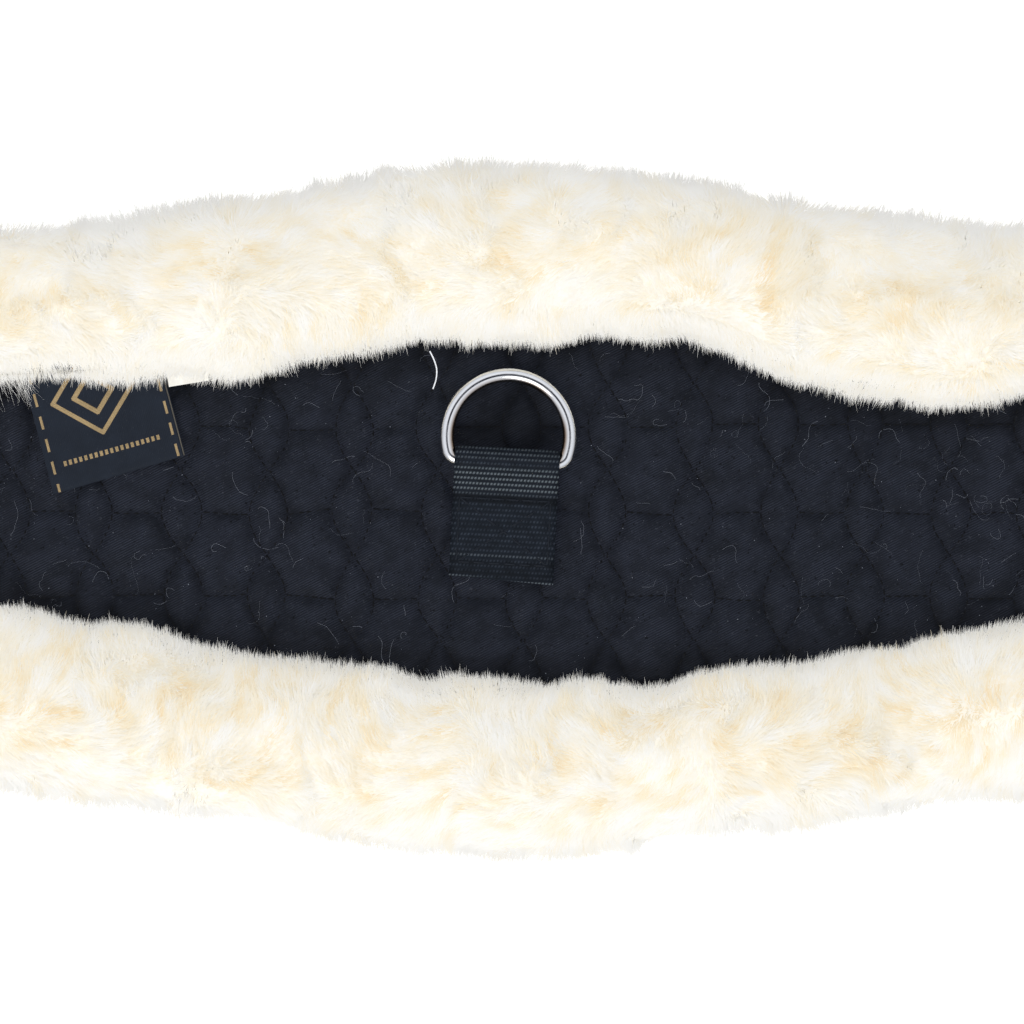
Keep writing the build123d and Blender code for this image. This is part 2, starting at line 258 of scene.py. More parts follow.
def smooth_line(points, count):
    """A smooth curve through points (Catmull-Rom), as count points evenly spaced along it."""
    p = np.asarray(points, float)
    p = np.vstack([2 * p[0] - p[1], p, 2 * p[-1] - p[-2]])
    out = []
    for i in range(1, len(p) - 2):
        t = np.linspace(0, 1, 24, endpoint=False)[:, None]
        a, b, c, d = p[i - 1], p[i], p[i + 1], p[i + 2]
        out.append(
            0.5 * (2 * b + (c - a) * t + (2 * a - 5 * b + 4 * c - d) * t**2 + (3 * b - a - 3 * c + d) * t**3)
        )
    line = np.vstack([*out, p[-2][None]])
    return resample(line, count)


def distance_along(line):
    """How far along the line each of its points is."""
    steps = np.linalg.norm(np.diff(line, axis=0), axis=1)
    return np.concatenate([[0], np.cumsum(steps)])


def resample(line, count):
    """The same line as count points evenly spaced along it."""
    along = distance_along(line)
    at = np.linspace(0, along[-1], count)
    return np.stack([np.interp(at, along, line[:, k]) for k in range(line.shape[1])], axis=1)


def arc(centre, radius, start, end, count):
    """Points on a circle in a plane, angles in degrees."""
    a = np.radians(np.linspace(start, end, count))
    return np.stack([centre[0] + radius * np.cos(a), centre[1] + radius * np.sin(a)], axis=1)


# ------------------------------------------------------------------ materials
class Nodes:
    """Short names for building one material's node tree."""

    def __init__(self, name, colour, roughness, **sockets):
        self.material = bpy.data.materials.new(name)
        self.material.use_nodes = True
        self.tree = self.material.node_tree
        self.bsdf = self.tree.nodes["Principled BSDF"]
        self.bsdf.inputs["Base Color"].default_value = (*colour, 1)
        self.bsdf.inputs["Roughness"].default_value = roughness
        for key, value in sockets.items():
            self.bsdf.inputs[key.replace("_", " ")].default_value = value
        self.material.diffuse_color = (*colour, 1)
        self._object = None

    def add(self, kind, inputs=(), **settings):
        node = self.tree.nodes.new("ShaderNode" + kind)
        for key, value in settings.items():
            setattr(node, key, value)
        for key, value in dict(inputs).items():
            self.put(node.inputs[key], value)
        return node

    def put(self, socket, value):
        if isinstance(value, bpy.types.NodeSocket):
            self.tree.links.new(value, socket)
        elif isinstance(value, bpy.types.Node):
            self.tree.links.new(value.outputs[0], socket)
        else:
            socket.default_value = value

    def place(self, turn=(0, 0, 0), scale=(1, 1, 1)):
        """Object coordinates in mm, turned and scaled."""
        if self._object is None:
            self._object = self.add("TexCoord").outputs["Object"]
        mm = [s / MM for s in scale]
        return self.add("Mapping", {"Vector": self._object, "Rotation": turn, "Scale": mm})

    def math(self, operation, a, b=0.0, c=0.0):
        return self.add("Math", {0: a, 1: b, 2: c}, operation=operation)

    def noise(self, size, detail=2.0, stretch=(1, 1, 1), roughness=0.55):
        """Noise with features of that size in mm; stretch makes them longer along an axis."""
        settings = {"Vector": self.place(scale=[1 / (size * s) for s in stretch]), "Scale": 1.0}
        settings.update(Detail=detail, Roughness=roughness)
        return self.add("TexNoise", settings).outputs["Fac"]

    def waves(self, pitch, angle=0.0, axis=0):
        """Ribs with that pitch in mm, from 0 to 1, across an axis turned about Z."""
        at = self.place((0, 0, math.radians(angle)), (1, 1, 1))
        split = self.add("SeparateXYZ", {0: at})
        phase = self.math("MULTIPLY", split.outputs[axis], 2 * math.pi / pitch)
        return self.math("MULTIPLY_ADD", self.math("SINE", phase), 0.5, 0.5)

    def stored(self, name):
        """A 0 to 1 amount that the mesh keeps for each point."""
        return self.add("VertexColor", layer_name=name).outputs["Color"]

    def mix(self, factor, a, b):
        node = self.add("Mix", data_type="RGBA")
        self.put(node.inputs[0], factor)
        for socket, colour in ((node.inputs[6], a), (node.inputs[7], b)):
            self.put(socket, (*colour, 1) if isinstance(colour, tuple) and len(colour) == 3 else colour)
        return node.outputs[2]

    def ramp(self, value, low_at, high_at):
        ends = {"Value": value, "From Min": low_at, "From Max": high_at}
        return self.add("MapRange", ends, clamp=True).outputs[0]

    def colour(self, value):
        self.put(self.bsdf.inputs["Base Color"], value)

    def roughness(self, value):
        self.put(self.bsdf.inputs["Roughness"], value)

    def bump(self, height, depth):
        """Bump of that depth in mm."""
        node = self.add("Bump", {"Height": height, "Distance": depth * MM, "Strength": 1.0})
        if self.bsdf.inputs["Normal"].is_linked:
            self.put(node.inputs["Normal"], self.bsdf.inputs["Normal"].links[0].from_socket)
        self.put(self.bsdf.inputs["Normal"], node.outputs[0])


def srgb(*colour):
    """Linear colour of an sRGB colour given in 0 to 255."""
    return tuple(c / 12.92 if c <= 0.04045 else ((c + 0.055) / 1.055) ** 2.4 for c in np.array(colour) / 255)


def dark(r, g, b, gain=2.0):
    """Linear colour of cloth that looks like this sRGB colour under a light that makes white paper glare."""
    return tuple(c / gain for c in srgb(r, g, b))


def cotton_material():
    """Near-black cotton twill: diagonal ribs that come and go, painted shade in the sewn grooves and painted
    shadow beside the wool and under the ring, pits, fading and dust.
    """
    m = Nodes("black_cotton", dark(28, 31, 38), 0.9, Specular_IOR_Level=0.07)
    ribs = m.waves(0.54, angle=-27.0, axis=1)
    threads = m.waves(0.42, angle=63.0, axis=0)
    wear = m.noise(8.0, 4.0)
    rubbed = m.ramp(m.noise(5.0, 3.0), 0.36, 0.62)
    dust = m.noise(0.7, 3.0, roughness=0.7)
    pits = m.noise(0.9, 2.0)
    groove = m.stored("groove")
    body = m.mix(m.ramp(wear, 0.3, 0.75), dark(23, 26, 32), dark(37, 40, 49))
    shown = m.math("MULTIPLY", ribs, m.math("MULTIPLY_ADD", rubbed, 0.6, 0.25))
    ribbed = m.mix(shown, body, dark(58, 63, 77))
    pitted = m.mix(m.ramp(pits, 0.36, 0.26), ribbed, dark(13, 15, 20))
    dusty = m.mix(m.ramp(dust, 0.6, 0.85), pitted, dark(88, 92, 102))
    # Painted shade and shadow: near black where the stored groove amount is high.
    m.colour(m.mix(groove, dusty, dark(9, 10, 13)))
    m.roughness(m.ramp(wear, -0.6, 1.2))
    m.bump(ribs, 0.06)
    m.bump(threads, 0.02)
    m.bump(m.noise(0.35, 2.0), 0.04)
    return m.material


def webbing_material():
    """Webbing of the ring's tab: rows of dots, pale where it is rubbed and nearly black elsewhere."""
    m = Nodes("black_webbing", dark(24, 29, 35), 0.75, Specular_IOR_Level=0.1)
    turn = -math.degrees(math.atan2(TAB_ACROSS[1], TAB_ACROSS[0]))
    rows = m.waves(WEB_ROW, turn, 1)
    dots = m.waves(0.78, turn + 18, 0)
    patches = m.noise(2.2, 3.0)
    twist = m.noise(0.8, 2.0)
    rubbed = m.stored("rubbed")
    shaded = m.stored("shaded")
    base = m.mix(m.ramp(patches, 0.35, 0.7), dark(22, 28, 36), dark(31, 38, 48))
    uneven = m.ramp(m.math("ADD", dots, m.math("MULTIPLY", twist, 0.5)), 0.25, 1.0)
    spots = m.math("MULTIPLY", m.ramp(rows, 0.3, 0.95), uneven)
    faint = m.mix(m.math("MULTIPLY", spots, m.ramp(patches, 0.25, 0.65)), base, dark(64, 72, 84))
    rubbed_colour = m.mix(spots, base, dark(116, 126, 134))
    m.colour(m.mix(shaded, m.mix(rubbed, faint, rubbed_colour), dark(7, 9, 12)))
    m.roughness(m.ramp(patches, -1.2, 1.4))
    m.bump(spots, 0.12)
    m.bump(m.noise(0.3, 2.0), 0.03)
    return m.material


def weave_material(name, ground, light, pitch, axis, dotted=0.5, angle=0.0, depth=0.06):
    """Webbing, tape or elastic: ribs along one axis, crossed by fine warp threads."""
    m = Nodes(name, ground, 0.7, Specular_IOR_Level=0.1)
    ribs = m.waves(pitch, angle, axis)
    warp = m.waves(pitch * 0.42, angle, 1 - axis)
    dots = m.math("MULTIPLY", ribs, warp)
    wear = m.noise(4.0, 3.0)
    base = m.mix(m.ramp(wear, 0.35, 0.7), ground, tuple(c * 1.35 for c in ground))
    m.colour(m.mix(m.math("MULTIPLY", dots, dotted), base, light))
    m.bump(ribs, depth)
    m.bump(warp, depth * 0.4)
    m.bump(m.noise(0.3, 2.0), 0.02)
    m.roughness(m.ramp(wear, -1.2, 1.4))
    return m.material


def thread_material(name, colour):
    """Twisted sewing thread."""
    m = Nodes(name, colour, 0.55, Specular_IOR_Level=0.15)
    twist = m.waves(0.35, angle=40.0)
    m.colour(m.mix(twist, colour, tuple(min(1.0, c * 1.4) for c in colour)))
    m.bump(twist, 0.04)
    return m.material


def leather_material():
    m = Nodes("patch_leather", dark(30, 31, 33), 0.5, Specular_IOR_Level=0.3)
    cells = m.add("TexVoronoi", {"Vector": m.place(), "Scale": 1.0}, feature="DISTANCE_TO_EDGE")
    grain = m.ramp(cells.outputs["Distance"], 0.0, 0.22)
    wear = m.noise(6.0, 4.0)
    body = m.mix(m.ramp(wear, 0.35, 0.75), dark(24, 25, 27), dark(40, 41, 44))
    m.colour(m.mix(m.math("SUBTRACT", 1.0, grain), body, dark(14, 14, 16)))
    m.roughness(m.ramp(wear, -0.9, 2.2))
    m.bump(grain, 0.07)
    m.bump(m.noise(0.4, 3.0), 0.03)
    return m.material


def steel_material(name="polished_steel", rough=0.13, tint=(0.78, 0.785, 0.79)):
    """Polished steel with faint polishing lines and handling marks."""
    m = Nodes(name, tint, rough, Metallic=1.0)
    smear = m.noise(3.0, 4.0)
    lines = m.noise(0.25, 2.0, stretch=(8, 1, 1))
    clean = m.mix(m.ramp(smear, 0.4, 0.8), tint, tuple(c * 0.93 for c in tint))
    # Painted reflection: a brown tint where the mesh stores an amount for it, as on the D-ring's inner side.
    painted_reflection = m.stored("painted_reflection")
    m.colour(m.mix(painted_reflection, clean, (0.36, 0.27, 0.2)))
    m.roughness(m.ramp(smear, 0.45 - 3.2 * rough, 0.45 + 6.0 * rough + 1.6))
    m.bump(lines, 0.0015)
    return m.material


# ------------------------------------------------------------------ quilted cover
QUILT_PITCH = 20.0
QUILT_X = 12.6
QUILT_FLAT = 5.5
QUILT_DEPTH = 1.45
COVER_LOW = low("quilted_cover")[2]


def wander(x, y, seed):
    """How far the quilting lines stray from true, in mm."""
    p = np.stack([x, y, np.full_like(x, 0.5)], axis=1)
    return 0.8 * noise(p, 19.0, seed) + 0.3 * noise(p, 6.0, seed + 7)


def side_curve(v):
    """Half-width of a quilted cell at a height from its middle: its sides swing in towards the seams."""
    return QUILT_PITCH / 2 - (QUILT_PITCH / 2 - QUILT_FLAT) * np.sin(np.pi * np.abs(v) / QUILT_PITCH)


def quilt_distance(x, y):
    """Distance to the nearest quilting line."""
    xs = x + wander(x, y, 11)
    ys = y + wander(x, y, 23)
    half = QUILT_PITCH / 2
    u = np.abs((xs - QUILT_X + half) % QUILT_PITCH - half)
    v = np.abs(ys % QUILT_PITCH - half)
    level = np.hypot(np.maximum(u - QUILT_FLAT, 0), v - half)
    slope = (half - QUILT_FLAT) * np.pi / QUILT_PITCH * np.cos(np.pi * v / QUILT_PITCH)
    return np.minimum(level, np.abs(u - side_curve(v)) / np.sqrt(1 + slope**2))


def cover_height(x, y):
    """Height of the quilted surface: soft pillows between sewn grooves, flat under the end patches."""
    d = quilt_distance(x, y)
    p = np.stack([x, y, np.zeros_like(x)], axis=1)
    quilted = 1 - ease(x, *QUILT_END)
    groove = np.exp(-((d / 1.15) ** 1.25))
    puff = np.exp(-d / 3.4)
    pucker = noise(p, 2.4, 31) * np.exp(-d / 2.6) * 0.16
    slack = noise(p, 13.0, 37) * 0.16 + noise(p, 5.0, 41) * 0.05
    sink = quilted * (0.62 * groove + 0.55 * puff) * QUILT_DEPTH * 0.9
    return TOP - 0.16 - sink + quilted * (pucker + slack)


def quilted_cover(material):
    step = 0.72
    columns = int(2 * PAD_END / step) + 1
    x = np.linspace(-PAD_END, PAD_END, columns)
    across = np.linspace(-1, 1, 125)
    half = panel_half_width(x)
    gx = np.repeat(x, len(across))
    gy = (half[:, None] * across[None, :]).ravel()
    gz = cover_height(gx, gy)
    edge = (half[:, None] * (1 - np.abs(across))[None, :]).ravel()
    gz -= 1.1 * np.exp(-edge / 0.9)
    top = np.stack([gx, gy, gz], axis=1).reshape(columns, len(across), 3)
    # The cloth turns down over the foam's edge and meets underneath.
    turn_down = ((0.35, 0.2), (0.5, -2.6), (0.45, -5.4), (-0.6, -6.2))
    left, right = (
        [np.stack([x, side * (half + out), np.full_like(x, COVER_LOW + up)], axis=1) for out, up in turn_down]
        for side in (-1, 1)
    )
    points = np.stack([*left[::-1], *[top[:, i] for i in range(len(across))], *right], axis=1)
    faces = grid_faces(columns, points.shape[1], wrap_columns=True)[:, ::-1]
    flat = points.reshape(-1, 3)
    mesh = big_mesh("quilted_cover_cloth", flat, faces, [material])
    # Painted shade along the quilting lines, stored as the groove amount for the cloth's material.
    gap = quilt_distance(flat[:, 0], flat[:, 1])
    patchy = 0.8 + 0.6 * noise(flat, 4.0, 43)
    groove = 0.2 * np.exp(-((gap / 0.5) ** 1.6)) * patchy + 0.16 * np.exp(-((gap / 2.4) ** 1.6))
    groove *= 1 - ease(flat[:, 0], *QUILT_END)
    # Painted shadow: darker beside the wool rolls and under the ring, which shade the cloth.
    section = roll_section(flat[:, 0])
    stray = np.where(flat[:, 1] > 0, border_wander(flat[:, 0], 1), -border_wander(flat[:, 0], -1))
    clear = section[0] - section[2] + stray - np.abs(flat[:, 1])
    groove += 0.5 * np.exp(-np.clip(clear - 2.5, 0, 90) / 4.0)
    middle = RING_PIVOT + TAB_ALONG * (RING_DROP + 1)
    groove += 0.5 * np.exp(-((np.hypot(flat[:, 0] - middle[0], flat[:, 1] - middle[1]) / 12.5) ** 4))
    paint(mesh, "groove", np.clip(groove, 0, 0.8))
    obj = new_object("quilted_cover_cloth", mesh, "pad", ["quilted_cover", "foam_pad"])


def quilt_lines():
    """Every quilting line on the cover, as plan points: each cell's two sides and its upper seam."""
    half = QUILT_PITCH / 2
    v = np.linspace(-half, half, 15)
    side = np.column_stack([side_curve(v), v])
    seam = np.array([[-QUILT_FLAT, half], [QUILT_FLAT, half]])
    lines = []
    for k in range(-10, 10):
        for j in range(-3, 3):
            centre = np.array([QUILT_X + QUILT_PITCH * k, half + QUILT_PITCH * j])
            lines += [centre + side, centre + side * [-1, 1], centre + seam]
    return lines


def stitch(shape, a, b, radius, rise):
    """One machine stitch: a short thread that dips into the cloth at both ends."""
    a, b = np.asarray(a, float), np.asarray(b, float)
    t = np.array([0.0, 0.12, 0.35, 0.65, 0.88, 1.0])[:, None]
    path = a + (b - a) * t
    path[:, 2] += rise * np.sin(np.pi * t[:, 0]) - 0.12 * (np.abs(2 * t[:, 0] - 1) ** 4)
    radii = radius * np.array([0.55, 0.9, 1.0, 1.0, 0.9, 0.55])
    shape.add(*tube(path, radii, sides=6))


def sewn_line(shape, plan, height, pitch, fill=0.84, radius=0.2, rise=0.16, keep=None):
    """Machine stitches along plan points. height(x, y) gives the cloth's surface."""
    plan = np.asarray(plan, float)
    along = distance_along(plan)
    count = max(1, int(round(along[-1] / pitch)))

    def at(t):
        return np.array([np.interp(t * along[-1], along, plan[:, k]) for k in range(2)])

    for i in range(count):
        p = at((i + (1 - fill) / 2) / count)
        q = at((i + 1 - (1 - fill) / 2) / count)
        if keep is not None and not keep((p + q) / 2):
            continue
        z = height(np.array([p[0], q[0]]), np.array([p[1], q[1]]))
        stitch(shape, (*p, z[0]), (*q, z[1]), radius, rise)


def level_at(height):
    """A flat surface at that height, for sewn_line."""
    return lambda x, y: np.full_like(x, height)


def box_and_cross(corners):
    """The six lines of a box of stitches with its two diagonals."""
    sides = [(corners[i], corners[(i + 1) % 4]) for i in range(4)]
    return [*sides, (corners[0], corners[2]), (corners[1], corners[3])]


def quilt_stitching(material):
    shape = Shape()

    def strayed(p):
        return p - np.column_stack([wander(p[:, 0], p[:, 1], 11), wander(p[:, 0], p[:, 1], 23)])

    def shown(p):
        return abs(p[1]) < panel_half_width(p[0]) - 1.5 and abs(p[0]) < 201.0

    for line in quilt_lines():
        plan = strayed(resample(line, 15))
        sewn_line(shape, plan, cover_height, pitch=2.1, fill=0.78, radius=0.19, rise=0.1, keep=shown)
    shape.become("quilt_stitching", material, "pad")


# ------------------------------------------------------------------ fleece
TONE_COLOURS = [
    (0.705, 0.59, 0.4),
    (0.715, 0.628, 0.462),
    (0.72, 0.66, 0.53),
    (0.722, 0.684, 0.594),
    (0.724, 0.702, 0.645),
    (0.728, 0.72, 0.695),
]
LABEL_MIDDLE = (low("woven_label")[0] + high("woven_label")[0]) / 2
LABEL_REACH = 24.0  # either side of the woven label's middle, also takes in the care label
LABEL_CLEAR = 1.5  # above the pad's top, clears both labels
PILE = 4.4
RECESS = 2.5
FRINGE_INSET = 1.8
FRINGE_REACH = ROLL_END - 16
DENSE_REACH = 126.0  # the fleece is densest this far either side of the girth's middle
FIBRES_PER_PIECE = 45000


def fleece_materials():
    """Constant tones from deep cream at the roots to near white at the tips."""
    sheen = {"Specular_IOR_Level": 0.1, "Sheen_Weight": 0.1, "Sheen_Roughness": 0.5}
    return [Nodes(f"wool_tone_{i}", colour, 0.9, **sheen).material for i, colour in enumerate(TONE_COLOURS)]


def underwool_material():
    """Matted wool under the longer fibres."""
    m = Nodes("underwool", TONE_COLOURS[3], 0.95, Specular_IOR_Level=0.1)
    patches = m.noise(11.0, 3.0)
    strands = m.noise(0.9, 3.0)
    base = m.mix(m.ramp(patches, 0.35, 0.65), TONE_COLOURS[2], TONE_COLOURS[4])
    m.colour(m.mix(m.ramp(strands, 0.3, 0.8), base, TONE_COLOURS[5]))
    m.bump(strands, 0.15)
    m.bump(m.noise(3.0, 2.0), 0.2)
    m.roughness(m.ramp(patches, -6.0, 1.2))
    return m.material


def fibres(root, normal, lean, length, width, tone, rng, droop=0.0, stray=0.13):
    """Arrays for flat tapering fibres: points, a tone for each face and shading normals."""
    n = len(root)
    d = unit(0.62 * normal + lean + stray * rng.normal(size=(n, 3)))
    bend = 0.16 * rng.normal(size=(n, 3)) + 0.12 * normal + droop
    # A fibre curves on the way it leans, never back over itself.
    outward = unit(normal + [0, 0, 0.7] * (normal[:, 2:] > -0.8))
    flat = bend - outward * np.sum(bend * outward, axis=1, keepdims=True)
    bend = bend - flat * (np.sum(flat * d, axis=1, keepdims=True) < 0)
    t = np.array([0.0, 0.52, 1.0])[None, :, None]
    spine = root[:, None, :] + length[:, None, None] * (t * d[:, None, :] + t**2 * bend[:, None, :])
    # The flat side is turned outwards along both halves, so that neither shows its shaded back.
    way = np.zeros((n, 3))
    for i in (0, 1):
        run = spine[:, i + 1] - spine[:, i]
        way += unit(run - outward * np.sum(run * outward, axis=1, keepdims=True))
    side = unit(np.cross(way, outward))
    face = unit(np.cross(side, d))
    half = 0.5 * width[:, None] * np.array([1.0, 0.95, 0.18])[None, :]
    offset = half[:, :, None] * side[:, None, :]
    points = np.stack([spine - offset, spine + offset], axis=2).reshape(-1, 3)
    points[:, 2] = np.maximum(points[:, 2], 0.12)
    tones = np.clip(np.round(tone[:, None] + np.array([-0.5, 0.4])[None, :]), 0, len(TONE_COLOURS) - 1)
    shade = unit(0.8 * normal + 0.15 * d + 0.5 * face)
    # Light soaks into the wool, so the fibres on its sides are never as dark as a hard face there.
    shade[:, 2] = np.where(normal[:, 2] > -0.8, np.maximum(shade[:, 2], 0.25), shade[:, 2])
    return points, tones.ravel(), np.repeat(unit(shade), 6, axis=0)


def fleece_pieces(name, parts, materials):
    """Makes fibre arrays into meshes of at most FIBRES_PER_PIECE fibres each, taken in order along X.
    Makes fibre arrays into pieces small enough to be stored whole.
    """
    points, tones, shade = (np.concatenate([p[i] for p in parts]) for i in range(3))
    order = np.argsort(points[::6, 0], kind="stable")
    quad = np.array([[0, 1, 3, 2], [2, 3, 5, 4]])
    for i, chosen in enumerate(np.array_split(order, math.ceil(len(order) / FIBRES_PER_PIECE))):
        keep = (chosen[:, None] * 6 + np.arange(6)).ravel()
        faces = (np.arange(len(chosen))[:, None, None] * 6 + quad).reshape(-1, 4)
        # Every face is wound to look the way its fibre is shaded, also where the fibre has twisted over.
        corner = points[keep][faces]
        flat = np.cross(corner[:, 2] - corner[:, 0], corner[:, 3] - corner[:, 1])
        twisted = np.sum(flat * shade[keep][faces[:, 0]], axis=1) < 0
        faces[twisted] = faces[twisted][:, ::-1]
        keep_tones = (chosen[:, None] * 2 + np.arange(2)).ravel()
        title = f"{name}_{i + 1}"
        mesh = big_mesh(title, points[keep], faces, materials, tones[keep_tones])
        mesh.normals_split_custom_set_from_vertices(shade[keep])
        new_object(title, mesh, "pad")


# How far each roll's inner border strays from its plan curve towards +Y, every 10 mm from -120 to 120.
BORDER_STRAY = {
    1: [
        4.6, 6.8, 6.4, 3.8, 4.7, 2.4, -0.4, 1.9, 0.5, 0.9, 1.9, 1.0, 1.5,
        1.1, 4.9, 3.1, 5.0, 3.5, 0.2, -1.1, -2.3, -1.7, -2.1, -0.5, 1.1,
    ],
    -1: [
        4.6, 2.4, -0.1, 1.9, 1.2, -2.1, -1.3, 0.2, 0.1, 1.5, 0.2, 1.2, 0.5,
        -0.4, 0.4, -3.4, -2.7, -2.6, -4.2, -4.8, -4.9, -4.6, -2.8, -1.6, -0.9,
    ],
}


def border_wander(x, side):
    """The stray of one roll's inner border at x, dying away towards the ends."""
    fine = np.linspace(-245, 245, 491)
    line = np.interp(fine, [-245, *np.linspace(-120, 120, 25), 245], [0, *BORDER_STRAY[side], 0])
    kernel = np.hanning(9)
    return np.interp(x, fine, np.convolve(line, kernel / kernel.sum(), mode="same"))


def roll_surface(x, angle, side, inset):
    """Points and outward normals of a wool roll drawn in by inset; angle 0 faces away from the pad."""
    centre, centre_z, a, b = roll_section(x)
    lump_at = np.stack([x, centre + 20 * np.cos(angle), centre_z + 20 * np.sin(angle) + 100 * side], axis=1)
    lump = 1.1 * noise(lump_at, 24.0, 51) + 0.7 * noise(lump_at, 11.0, 52) + 0.45 * noise(lump_at, 4.6, 53)
    a = np.maximum(a - inset + lump, 0.6)
    b = np.maximum(b - inset + lump, 0.6)
    inward = np.clip((1 - np.cos(angle)) / 2, 0, 1)
    y = side * (centre + a * np.cos(angle)) + border_wander(x, side) * inward
    z = centre_z + b * np.sin(angle)
    normal = unit(np.stack([np.zeros_like(x), side * np.cos(angle) / a, np.sin(angle) / b], axis=1))
    past = past_round(x)
    normal = unit(normal + np.stack([np.sign(x) * past * 1.6, 0 * x, 0 * x], axis=1) * past[:, None])
    return np.stack([x, y, z], axis=1), normal


def roll_base(row, material):
    side = ROWS[row]
    x = np.linspace(-(ROLL_END - 2), ROLL_END - 2, 231)
    angle = np.radians(np.linspace(0, 360, 60, endpoint=False))
    gx, ga = np.repeat(x, len(angle)), np.tile(angle, len(x))
    points, normals = roll_surface(gx, ga, side, RECESS - 0.7)
    fine = 0.5 * noise(points, 3.2, 61) + 0.25 * noise(points, 1.6, 62)
    points = points + normals * fine[:, None]
    wall = panel_half_width(points[:, 0]) + 0.7
    inside = (points[:, 2] < TOP + 0.4) & (np.abs(points[:, 1]) < wall)
    points[:, 1] = np.where(inside, side * wall, points[:, 1])
    points[:, 2] = np.maximum(points[:, 2], 1.5)
    name = f"wool_roll_{row}_base"
    faces = turned(grid_faces(len(x), len(angle), wrap_columns=True), side > 0)
    mesh = big_mesh(name, points, faces, [material])
    new_object(name, mesh, "pad", [f"wool_roll_{row}"])
    under_wool(row, material)


def under_wool(row, material):
    """The short dense wool beneath a roll's inner border, which hides the cover and the labels."""
    side, columns, rows = ROWS[row], 480, 12
    x, angle = np.linspace(-FRINGE_REACH, FRINGE_REACH, columns), np.radians(np.linspace(112, 147, rows))
    points, _ = roll_surface(np.repeat(x, rows), np.tile(angle, columns), side, FRINGE_INSET - 0.05)
    points[:, 2] = np.maximum(points[:, 2], cover_height(points[:, 0], points[:, 1]) + 0.1)
    over = (np.abs(points[:, 0] - LABEL_MIDDLE) < LABEL_REACH) & (points[:, 1] > 0)
    points[:, 2] = np.maximum(points[:, 2], (TOP + LABEL_CLEAR) * over)
    name = f"wool_roll_{row}_under_wool"
    mesh = big_mesh(name, points, turned(grid_faces(columns, rows), side > 0), [material])
    new_object(name, mesh, "pad")


def lean_field(points, normals, strength):
    """The way the fleece lies: broad swirls with smaller tufts, along the surface."""
    lean = 1.5 * noise_vector(points, 19.0, 71) + 0.9 * noise_vector(points, 7.5, 81)
    lean += 0.35 * noise_vector(points, 2.8, 91)
    lean -= normals * np.sum(lean * normals, axis=1, keepdims=True)
    return strength * lean


def streaks(points, lean, size, seed):
    """Noise drawn out along the way the fibres lie, from about -1 to 1."""
    along = unit(lean)
    total = sum(noise(points + k * 0.9 * along, size, seed) for k in range(-3, 4))
    return total / 3.2


def roll_fleece(row, materials):
    side = ROWS[row]
    rng = np.random.default_rng(700 + side)
    reach, dense = ROLL_END - 3, DENSE_REACH
    regions = [
        # from x, to x, from angle, to angle, fibres per mm of length and degree of arc
        (-dense, dense, 8, 178, 1.9),
        (-dense, dense, -88, 8, 0.7),
        (-reach, -dense, 8, 178, 1.05),
        (dense, reach, 8, 178, 1.05),
        (-reach, -dense, -88, 8, 0.5),
        (dense, reach, -88, 8, 0.5),
    ]
    parts = []
    for x0, x1, a0, a1, density in regions:
        count = int((x1 - x0) * (a1 - a0) * density)
        x = rng.uniform(x0, x1, count)
        angle = np.radians(rng.uniform(a0, a1, count))
        root, normal = roll_surface(x, angle, side, RECESS)
        on_pad = np.abs(root[:, 1]) < panel_half_width(x) + 0.5
        keep = ~(on_pad & (root[:, 2] < TOP + 0.3))
        root, normal, angle = root[keep], normal[keep], angle[keep]
        count = len(root)
        inner = np.clip(-np.cos(angle), 0, 1)
        lean = lean_field(root, normal, 1.0)
        lean[:, 1] -= side * 0.5 * inner
        steep = np.cos(angle) ** 2
        lean[:, 2] = lean[:, 2] * (1 - 0.85 * steep) - 0.45 * steep
        crown = np.clip(1 - np.abs(np.degrees(angle) - 92) / 62, 0, 1)
        hollow = np.clip((noise(root, 11.0, 101) + 0.45 * noise(root, 4.5, 102) - 0.1) / 0.6, 0, 1) * crown
        length = PILE * (1 - 0.22 * hollow) * rng.uniform(0.75, 1.15, count)
        width = rng.uniform(0.13, 0.21, count)
        outer = np.clip(np.cos(angle), 0, 1)
        tone = 2.9 - 1.6 * hollow + 0.6 * noise(root, 15.0, 103) + 0.2 * rng.normal(size=count)
        # Painted light: paler towards the outer side and the inner border, held back on the rear roll's inner
        # border, which faces away from the key light, and on the front roll's right part.
        painted_light_held_back = np.clip((root[:, 0] - 20) / 40, 0, 1) if side > 0 else 0.8
        streaky = 1.4 if side > 0 else 1.8
        tone += streaky * streaks(root, lean, 2.2, 104) + 1.0 * inner * (1 - painted_light_held_back) + 1.9 * outer**1.5
        droop = np.zeros_like(root)
        droop[:, 2] = -0.4 * inner * np.clip((root[:, 2] - TOP + 3) / 6, 0, 1)
        parts.append(fibres(root, normal, lean, length, width, tone, rng, droop))
        clear_labels(parts[-1][0])
    parts.append(fringe(row, rng))
    if side > 0:
        parts.append(wisps(rng, -DENSE_REACH, -112, 150))
    fleece_pieces(f"wool_roll_{row}_fleece", parts, materials)


def clear_labels(points):
    """Lifts wool that lies within the labels' thickness to just above them, fibre by fibre."""
    x, y, z = points.T
    over = (np.abs(x - LABEL_MIDDLE) < LABEL_REACH) & (y > 0) & (y < panel_half_width(x)) & (z > TOP - 0.6)
    points[:, 2] = np.where(over, np.maximum(z, TOP + LABEL_CLEAR + fibre_layer(points)), z)


def fibre_layer(points):
    """A small height of its own for each fibre, so that flattened ones do not lie in one plane."""
    return np.repeat(0.15 + 0.08 * np.sin(40 * points[::6, 0]), 6)


def lay_on_cover(points):
    """Lifts wool that strays over the cover or the labels to just above them."""
    points[:, 2] = np.maximum(points[:, 2], cover_height(points[:, 0], points[:, 1]) + fibre_layer(points))
    clear_labels(points)


